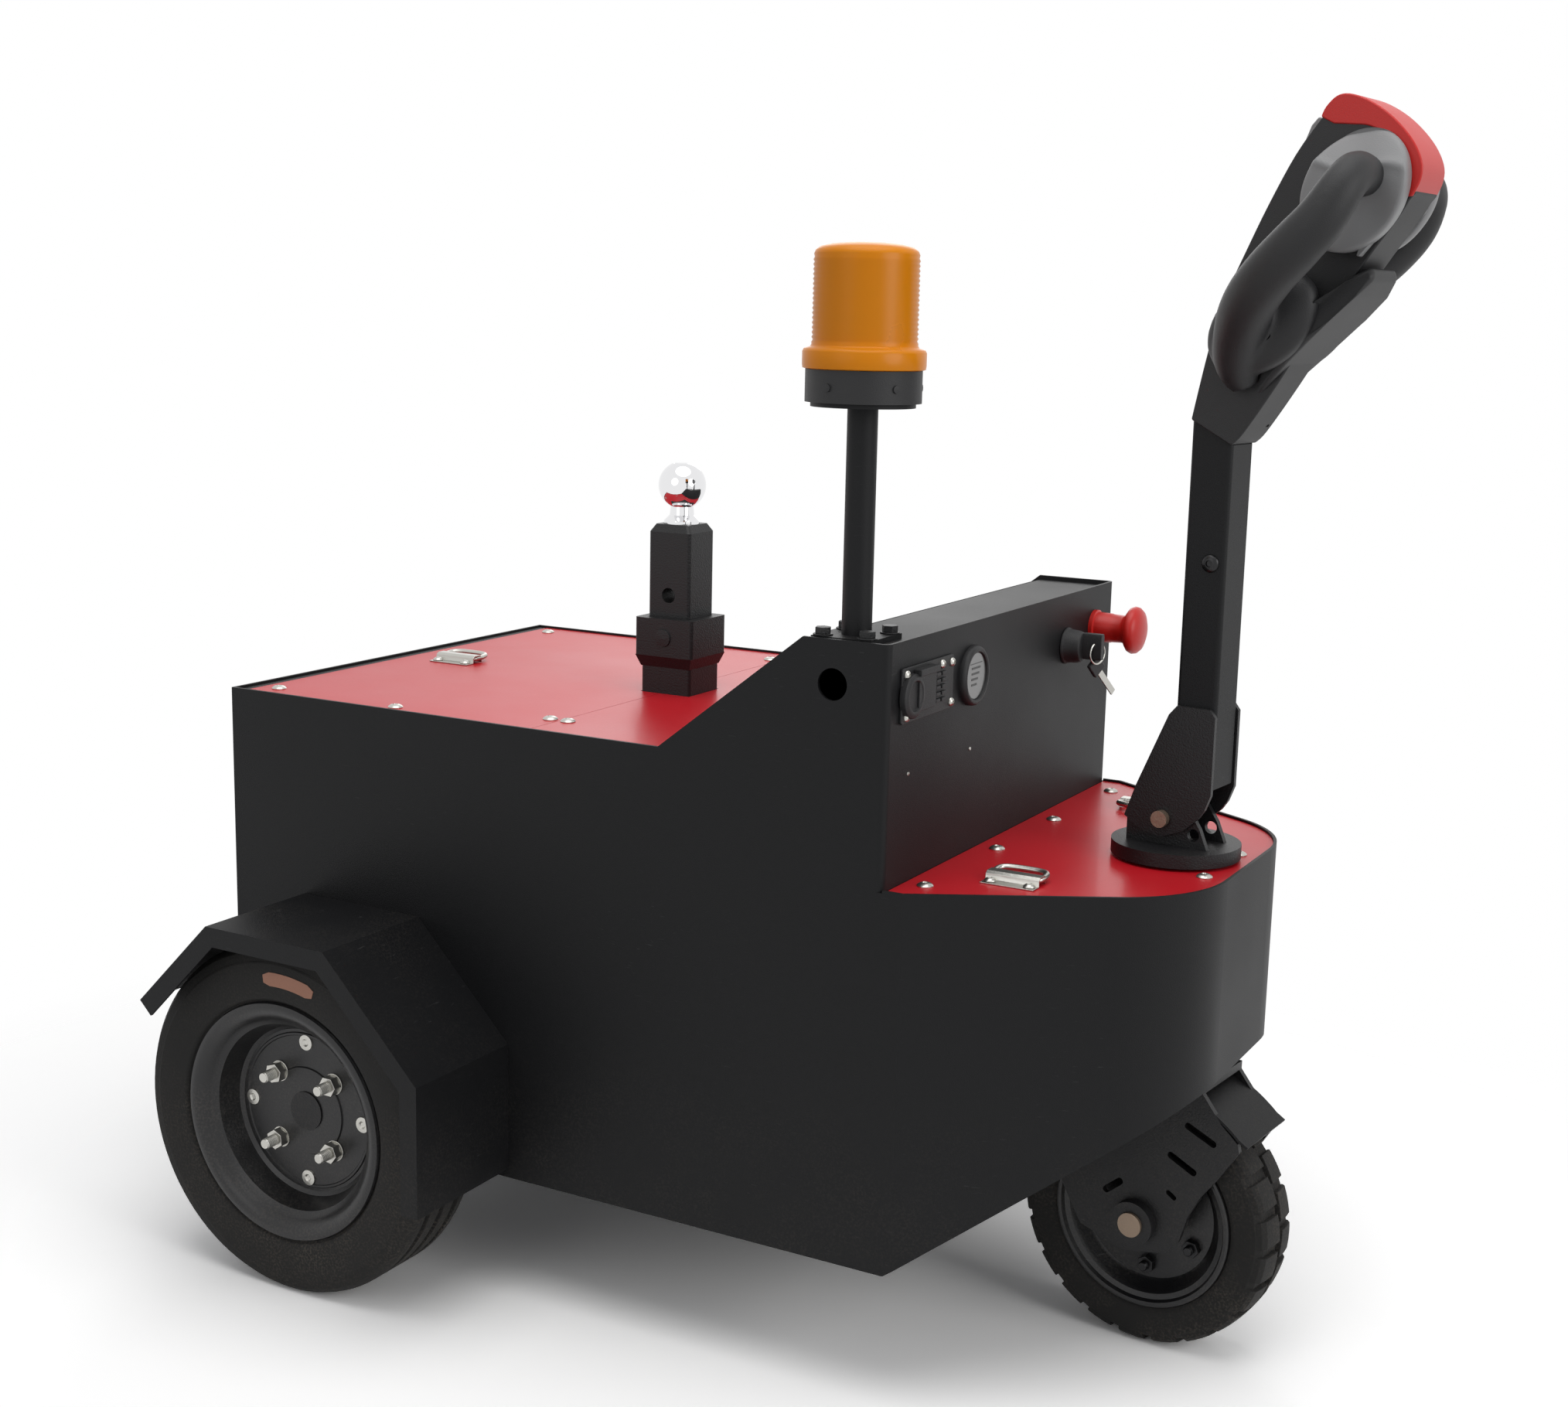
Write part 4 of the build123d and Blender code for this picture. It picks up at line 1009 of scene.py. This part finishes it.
# %% Beacon
BEACON = Vector((DASH - 0.051, -0.236, 0))
FOOT_TOP = 705.5
lens = Shape()
rows = [(51, 937.2), (53.6, 938), (54, 941), (54, 952), (52.6, 954.6), (47.5, 956), (46.2, 958)]
RIBS, RIB_PITCH = 18, 4.1
for k in range(RIBS):
    z = 960 + RIB_PITCH * k
    rows += [(46.3 - 0.012 * k, z), (45.2 - 0.012 * k, z + RIB_PITCH * 0.5)]
rows += [(45.6, 1034.5), (44.2, 1038), (40, 1041), (30, 1043.4), (16, 1044.7), (0.1, 1045)]
rows += [(0.1, 1042.5), (30, 1041), (41, 1036), (42.5, 1030), (43, 958), (50, 950), (50, 937.2)]
lens.turned(rows, BEACON, (0, 0, 1), 72)
lens.made("beacon_lens_dressed", AMBER, "chassis", "amber_lens", angle=60, stands_for=("beacon_lens",))
core = Shape()
rows = [(0.1, 937), (36, 937), (36, 950), (30, 954), (29, 1008), (24, 1016), (0.1, 1018)]
core.turned(rows, BEACON, (0, 0, 1), 40)
CORE_WHITE = finish("beacon_core", (0.85, 0.42, 0.08), 0.5, tone=0.2)
core.made("beacon_core", CORE_WHITE, "chassis", "amber_lens")
foot = Shape()
for dx in (-22, 22):
    for dy in (-22, 22):
        x, y = BEACON.x + dx * MM, BEACON.y + dy * MM
        washer = ((0.1, 0), (9, 0), (9, 1.4), (0.1, 1.4))
        foot.turned(washer, (x, y, FOOT_TOP * MM), (0, 0, 1), 24)
        foot.cut(hexagon(x, y, 7.4 * MM, 0.2 * dx), (FOOT_TOP + 1.3) * MM, (FOOT_TOP + 7.3) * MM, "Z")
foot.made("beacon_foot_bolts", FRAME_PAINT, "chassis", "frame_steel", 0.5)
for k in range(3):
    turn = math.radians(-100 + 70 * k)
    tab = Shape()
    spot = BEACON + Vector((math.cos(turn) * 50, math.sin(turn) * 50, 922)) * MM
    outwards = (math.cos(turn), math.sin(turn), 0)
    tab.turned(((0.1, 0), (3.6, 0), (3.4, 2.4), (0.1, 2.8)), spot, outwards, 16)
    tab.made(f"beacon_screw_{k + 1}", GRIP_PLASTIC, "chassis", "black_plastic")
print(RIBS, "lens ribs")

# %% [markdown]
# Small fittings on the steel are turned discs with low domes: a button-head bolt through the
# tiller arm and a plug in each side of the hitch collar. A curved patch of reddish paint lies
# on the sidewall of each rear tyre.

# %% Fittings
button_bolt = Shape()
BUTTON = ((0.1, 0), (8.5, 0), (8.4, 0.8), (6.8, 2.6), (4, 3.4), (3.2, 3.4), (2.8, 1.4), (0.1, 1.2))
for sign in (-1, 1):
    spot = (DASH + 0.2035, sign * 0.024, 0.768)
    button_bolt.turned(BUTTON, spot, (0, sign, 0), 28)
button_bolt.made("arm_bolt", DARK_METAL, "tiller", "frame_steel", angle=40)
plug = Shape()
for sign in (-1, 1):
    spot = (DASH - 0.381, sign * 0.035, 0.645)
    plug.turned(((0.1, 0), (9.5, 0), (9, 1.5), (0.1, 2.2)), spot, (0, sign, 0), 32)
plug.made("hitch_plug", FRAME_PAINT, "chassis", "frame_steel", angle=40)
PATCH_R = 148
PATCH = finish("sidewall_patch", (0.5, 0.24, 0.16), 0.6, dust=(0.4, 0.5), tone=0.15)
for sign in (1, -1):
    rows = []
    for k in range(9):
        turn = math.radians(97 - 3.1 * k) if sign < 0 else math.radians(83 + 3.1 * k)
        wide = 7 if 0 < k < 8 else 4
        corners = ((wide, -0.2), (-wide, -0.2), (-wide, 0.5), (wide, 0.5))
        rows.append([
            on_wheel(REAR_AXLE, PATCH_R + a, turn, sign * (REAR_OUT + b)) for a, b in corners
        ])
    patch = Shape()
    patch.rings(rows)
    side = "left" if sign > 0 else "right"
    patch.made(f"sidewall_patch_{side}", PATCH, f"rear_wheel_{side}", "red_plastic")
print("fittings placed")

# %% [markdown]
# The tiller head is a moulded housing that leans forward out of the arm. Its side is one
# outline: a back that curves up and over, and a front that runs straight down to the arm.
# The outline is given a thickness and its edges are rounded off generously.

# %% Head housing
HEAD_HALF = 28


def from_dash(rows):
    """Outline points (X from the dash face, Z) in mm as metres."""
    return [(DASH + x * MM, z * MM) for x, z in rows]


def smooth_line(rows, steps=4):
    """A curve through a few points, each stretch cut into steps."""
    points = []
    last = len(rows) - 1
    for k in range(last):
        a, b = rows[max(k - 1, 0)], rows[k]
        c, d = rows[k + 1], rows[min(k + 2, last)]
        for i in range(steps):
            t = i / steps
            points.append(tuple(
                0.5 * (2 * q + (r - p) * t + (2 * p - 5 * q + 4 * r - s) * t * t
                       + (3 * q - p - 3 * r + s) * t ** 3)
                for p, q, r, s in zip(a, b, c, d)
            ))
    return points + [rows[-1]]


back = smooth_line([
    (178.3, 896.8), (184, 926), (190, 955), (197, 985), (207, 1014), (221, 1046), (239, 1085),
    (261, 1127), (282, 1157),
])
under_pad = smooth_line([(296, 1164), (318, 1160), (344, 1140), (362, 1115), (369, 1094)], 3)
front = smooth_line([
    (364, 1088), (354, 1071), (338, 1049), (321, 1024), (297, 991), (277, 962), (258, 931), (240, 903),
    (226, 883), (217.8, 875.6),
])
housing = Shape()
housing.cut(from_dash(back + under_pad + front), -HEAD_HALF * MM, HEAD_HALF * MM)
housing.made(
    "tiller_housing", GRIP_PLASTIC, "tiller", "black_plastic", 3.5, 4, angle=40,
    stands_for=("tiller_head",),
)
print("housing", 2 * HEAD_HALF, "mm wide")

# %% [markdown]
# Between the roots of the grips the front of the head flares to both sides. Two lines of
# points give its front and its back, and a third row says how far it reaches sideways. Above
# it a grey wing of each thumb control shows beside the housing.

# %% Front of the head
apron = Shape()
APRON_FRONT = ((236, 912), (251, 930), (270, 950), (289, 969), (308, 988), (328, 1008), (340, 1024))
APRON_BACK = ((336, 1034), (318, 1022), (296, 1004), (278, 990), (262, 974), (246, 952), (232, 924))
APRON_HALVES = (24, 34, 42, 45, 46, 42, 30)
front_points = list(zip(APRON_FRONT, APRON_HALVES))
back_points = list(zip(APRON_BACK, reversed(APRON_HALVES)))
apron.rings([
    [(DASH + x * MM, sign * half * MM, z * MM) for (x, z), half in front_points + back_points]
    for sign in (-1, 1)
])
apron.made("tiller_apron", GRIP_PLASTIC, "tiller", "black_plastic", 5.0, 4, angle=25)
WING = ((336, 1084), (361, 1083), (359, 1080), (327, 1041), (324, 1042))
for side, sign in SIDES:
    wing = Shape()
    wing.rings([
        [(DASH + x * MM, sign * y * MM, z * MM) for x, z in WING] for y in (HEAD_HALF, HEAD_HALF + 8)
    ])
    wing.made(f"throttle_wing_{side}", GREY_PLASTIC, "tiller", "grey_plastic", 1.2, 2, angle=30)
print("front of the head", 2 * max(APRON_HALVES), "mm wide")

# %% [markdown]
# A flat band of red plastic runs over the top and down the front of the head. It is the pad
# that stops the machine when it is pushed against the body. Its inner edge follows the round
# thumb control with a small gap, and its outer edge bulges.

# %% Stop pad
PAD_OUTER = (
    (282, 1158), (286, 1166.5), (295, 1175), (306, 1176.5), (322, 1171.3), (340, 1160.5),
    (355.5, 1146.5), (366.8, 1132), (373.2, 1117), (372.4, 1104), (366.5, 1091),
)
PAD_INNER = ((352, 1090), (356, 1104), (353, 1124), (342, 1140), (326, 1149), (309, 1151), (294, 1152))
pad = Shape()
outer = smooth_line(PAD_OUTER)
pad.cut(from_dash(outer + smooth_line(PAD_INNER)), -(HEAD_HALF + 1) * MM, (HEAD_HALF + 1) * MM)
pad.made(
    "stop_pad_dressed", RED_PLASTIC, "tiller", "red_plastic", 3.5, 4, angle=50,
    stands_for=("stop_pad",),
)
print("stop pad reaches", round(max(z for x, z in outer)), "mm up")

# %% [markdown]
# Each thumb control is a thick grey disc. Its outer face slopes away above a raised crease
# and is hollowed a little below it, so that a thumb can push either edge. The face is a grid
# of rings whose height follows a formula of the place on the disc.

# %% Thumb controls
CONTROL_X, CONTROL_Z = 320, 1096
CONTROL_TILT = math.radians(62)
CONTROL_LONG, CONTROL_SHORT = 54, 43
CONTROL_IN, CONTROL_OUT = 30, 49
NECK_SHARE = 0.6


def control_reach(turn):
    """Radius of the oval rim by its turn from the long way."""
    across = CONTROL_LONG * math.sin(turn)
    return CONTROL_LONG * CONTROL_SHORT / math.hypot(CONTROL_SHORT * math.cos(turn), across)


def control_height(x, z):
    """How far the face stands out, by the place from the middle forwards and up, in mm."""
    crease = 19 - 0.05 * x + 4 * math.cos((x - 30) / 11)
    above = 1.6 * math.log(1 + math.exp((z - crease) / 1.6))
    lip = 1.6 * math.exp(-((z - crease) / 3.5) ** 2)
    hollow = 4 * math.exp(-((x - 22) / 18) ** 2 - ((z + 20) / 20) ** 2)
    return CONTROL_OUT + lip - 0.5 * above - hollow - 0.0012 * (x * x + z * z)


RIM_STEPS = 96
FACE_RINGS = (
    # share of the rim's radius, depth below the face in mm
    (1.0, 3.0), (0.99, 1.2), (0.965, 0.3), (0.92, 0), (0.86, 0), (0.8, 0), (0.74, 0), (0.68, 0),
    (0.62, 0), (0.56, 0), (0.5, 0), (0.44, 0), (0.38, 0), (0.32, 0), (0.26, 0), (0.2, 0), (0.14, 0),
    (0.07, 0),
)
for side, sign in SIDES:
    control = Shape()
    rows = [
        (NECK_SHARE, HEAD_HALF - 1, None), (NECK_SHARE, CONTROL_IN, None), (0.97, CONTROL_IN, None),
        (1.0, CONTROL_IN + 1, None),
    ]
    rows += [(share, None, sink) for share, sink in FACE_RINGS]
    rings = []
    for share, level, sink in rows:
        ring = []
        for k in range(RIM_STEPS):
            turn = 2 * math.pi * k / RIM_STEPS
            reach = control_reach(turn) * share
            x, z = reach * math.cos(turn + CONTROL_TILT), reach * math.sin(turn + CONTROL_TILT)
            y = level if level else control_height(x, z) - sink
            ring.append((DASH + (CONTROL_X + x) * MM, sign * y * MM, (CONTROL_Z + z) * MM))
        rings.append(ring)
    control.rings(rings)
    control.made(
        f"thumb_control_{side}", GREY_PLASTIC, "tiller", "grey_plastic", angle=60,
        stands_for=(f"throttle_{side}",),
    )
print("thumb controls stand out", CONTROL_OUT - HEAD_HALF, "mm")

# %% [markdown]
# The grips grow out of the housing like ears: a flat oval pad at the root, and a round bar
# that leaves it, bows outwards and turns back into the middle of the thumb control. The two
# overlapping forms are fused by a voxel remesh and smoothed, which gives the soft fillet
# between them that a moulding has.

# %% Grip loops
ROUTE = (
    # X from the dash face, Y, Z, radius of the bar, in mm
    (228, 30, 930, 13), (226, 44, 950, 20), (237, 66, 980, 23), (254, 88, 1003, 23.5),
    (276, 104, 1025, 23), (300, 112, 1047, 22.5), (321, 112, 1070, 21), (333, 105, 1093, 19),
    (336, 90, 1105, 18), (334, 72, 1108, 18), (331, 56, 1108, 18), (329, 42, 1107, 18),
)
ROOT_X, ROOT_Y, ROOT_Z = 247.5, 43, 984
ROOT_LONG, ROOT_SHORT, ROOT_THICK = 56, 39, 18
ROOT_TURN = math.radians(40)
ROOT_ROWS, ROOT_STEPS = 20, 32
VOXEL = 0.0026
for side, sign in SIDES:
    grip = Shape()
    line = smooth_line(ROUTE, 5)
    path = [(DASH + x * MM, sign * y * MM, z * MM) for x, y, z, r in line]
    grip.rod(path, [r * MM for x, y, z, r in line], 20)
    middle = Vector((DASH + ROOT_X * MM, sign * ROOT_Y * MM, ROOT_Z * MM))
    along = Vector((math.cos(ROOT_TURN), 0, math.sin(ROOT_TURN)))
    beside = Vector((math.sin(ROOT_TURN), 0, -math.cos(ROOT_TURN)))
    rows = []
    for k in range(1, ROOT_ROWS):
        lift = math.pi * k / ROOT_ROWS
        row = []
        for i in range(ROOT_STEPS):
            turn = 2 * math.pi * i / ROOT_STEPS
            u = ROOT_LONG * math.sin(lift) ** 0.8 * math.cos(turn)
            v = ROOT_SHORT * math.sin(lift) ** 0.8 * math.sin(turn)
            y = ROOT_THICK * math.copysign(abs(math.cos(lift)) ** 0.7, math.cos(lift))
            row.append(middle + (along * u + beside * v) * MM + Vector((0, y * MM, 0)))
        rows.append(row)
    grip.rings(rows)
    piece = grip.made(
        f"grip_{side}", GRIP_PLASTIC, "tiller", "black_plastic", angle=180,
        stands_for=(f"grip_loop_{side}",),
    )
    fuse = piece.modifiers.new("fuse", "REMESH")
    fuse.mode = "VOXEL"
    fuse.voxel_size = VOXEL
    fuse.use_smooth_shade = True
    soften = piece.modifiers.new("soften", "SMOOTH")
    soften.factor = 0.6
    soften.iterations = 9
print("grips bow out to", max(y + r for x, y, z, r in ROUTE), "mm")

# %% [markdown]
# A grey rocker sits on the back of the head near its top. The screw holes in the pads at the
# roots of the grips and at the foot of the housing are painted shade: thin near-black plates
# lie where the holes look dark.

# %% Rocker and painted shade of the screw holes
rocker = Shape()
rocker.cut(from_dash([(253, 1131), (262, 1154), (268, 1161), (280, 1158), (262, 1130)]), 0.002, 0.024)
rocker.made("head_rocker", GREY_PLASTIC, "tiller", "grey_plastic", 1.5, 3)
# A near-black, dull finish: painted shade for the dark inside of the screw holes.
PAINTED_HOLE_SHADE = finish("painted_hole_shade", (0.002, 0.002, 0.002), 0.9, specular=0.05)
holes = Shape()
HOLE_X, HOLE_Z, HOLE_TURN = 257, 971, math.radians(40)
for sign in (-1, 1):
    slot_line = []
    for k in range(16):
        turn = 2 * math.pi * k / 16
        a = 5 * math.cos(turn) + 2 * math.copysign(1, math.cos(turn))
        b = 2.8 * math.sin(turn)
        slot_line.append((
            HOLE_X + a * math.cos(HOLE_TURN) - b * math.sin(HOLE_TURN),
            HOLE_Z + a * math.sin(HOLE_TURN) + b * math.cos(HOLE_TURN),
        ))
    low, high = sorted((sign * 0.052, sign * 0.0615))
    holes.cut(from_dash(slot_line), low, high)
foot = Vector((DASH + 0.2315, 0.018, 0.8915))
holes.turned(((0.1, 0), (3.2, 0), (3.2, 0.6), (0.1, 0.6)), foot, (0.81, 0, -0.58), 20)
holes.made("head_screw_hole_shade", PAINTED_HOLE_SHADE, "tiller", "black_plastic")
print("head finished")
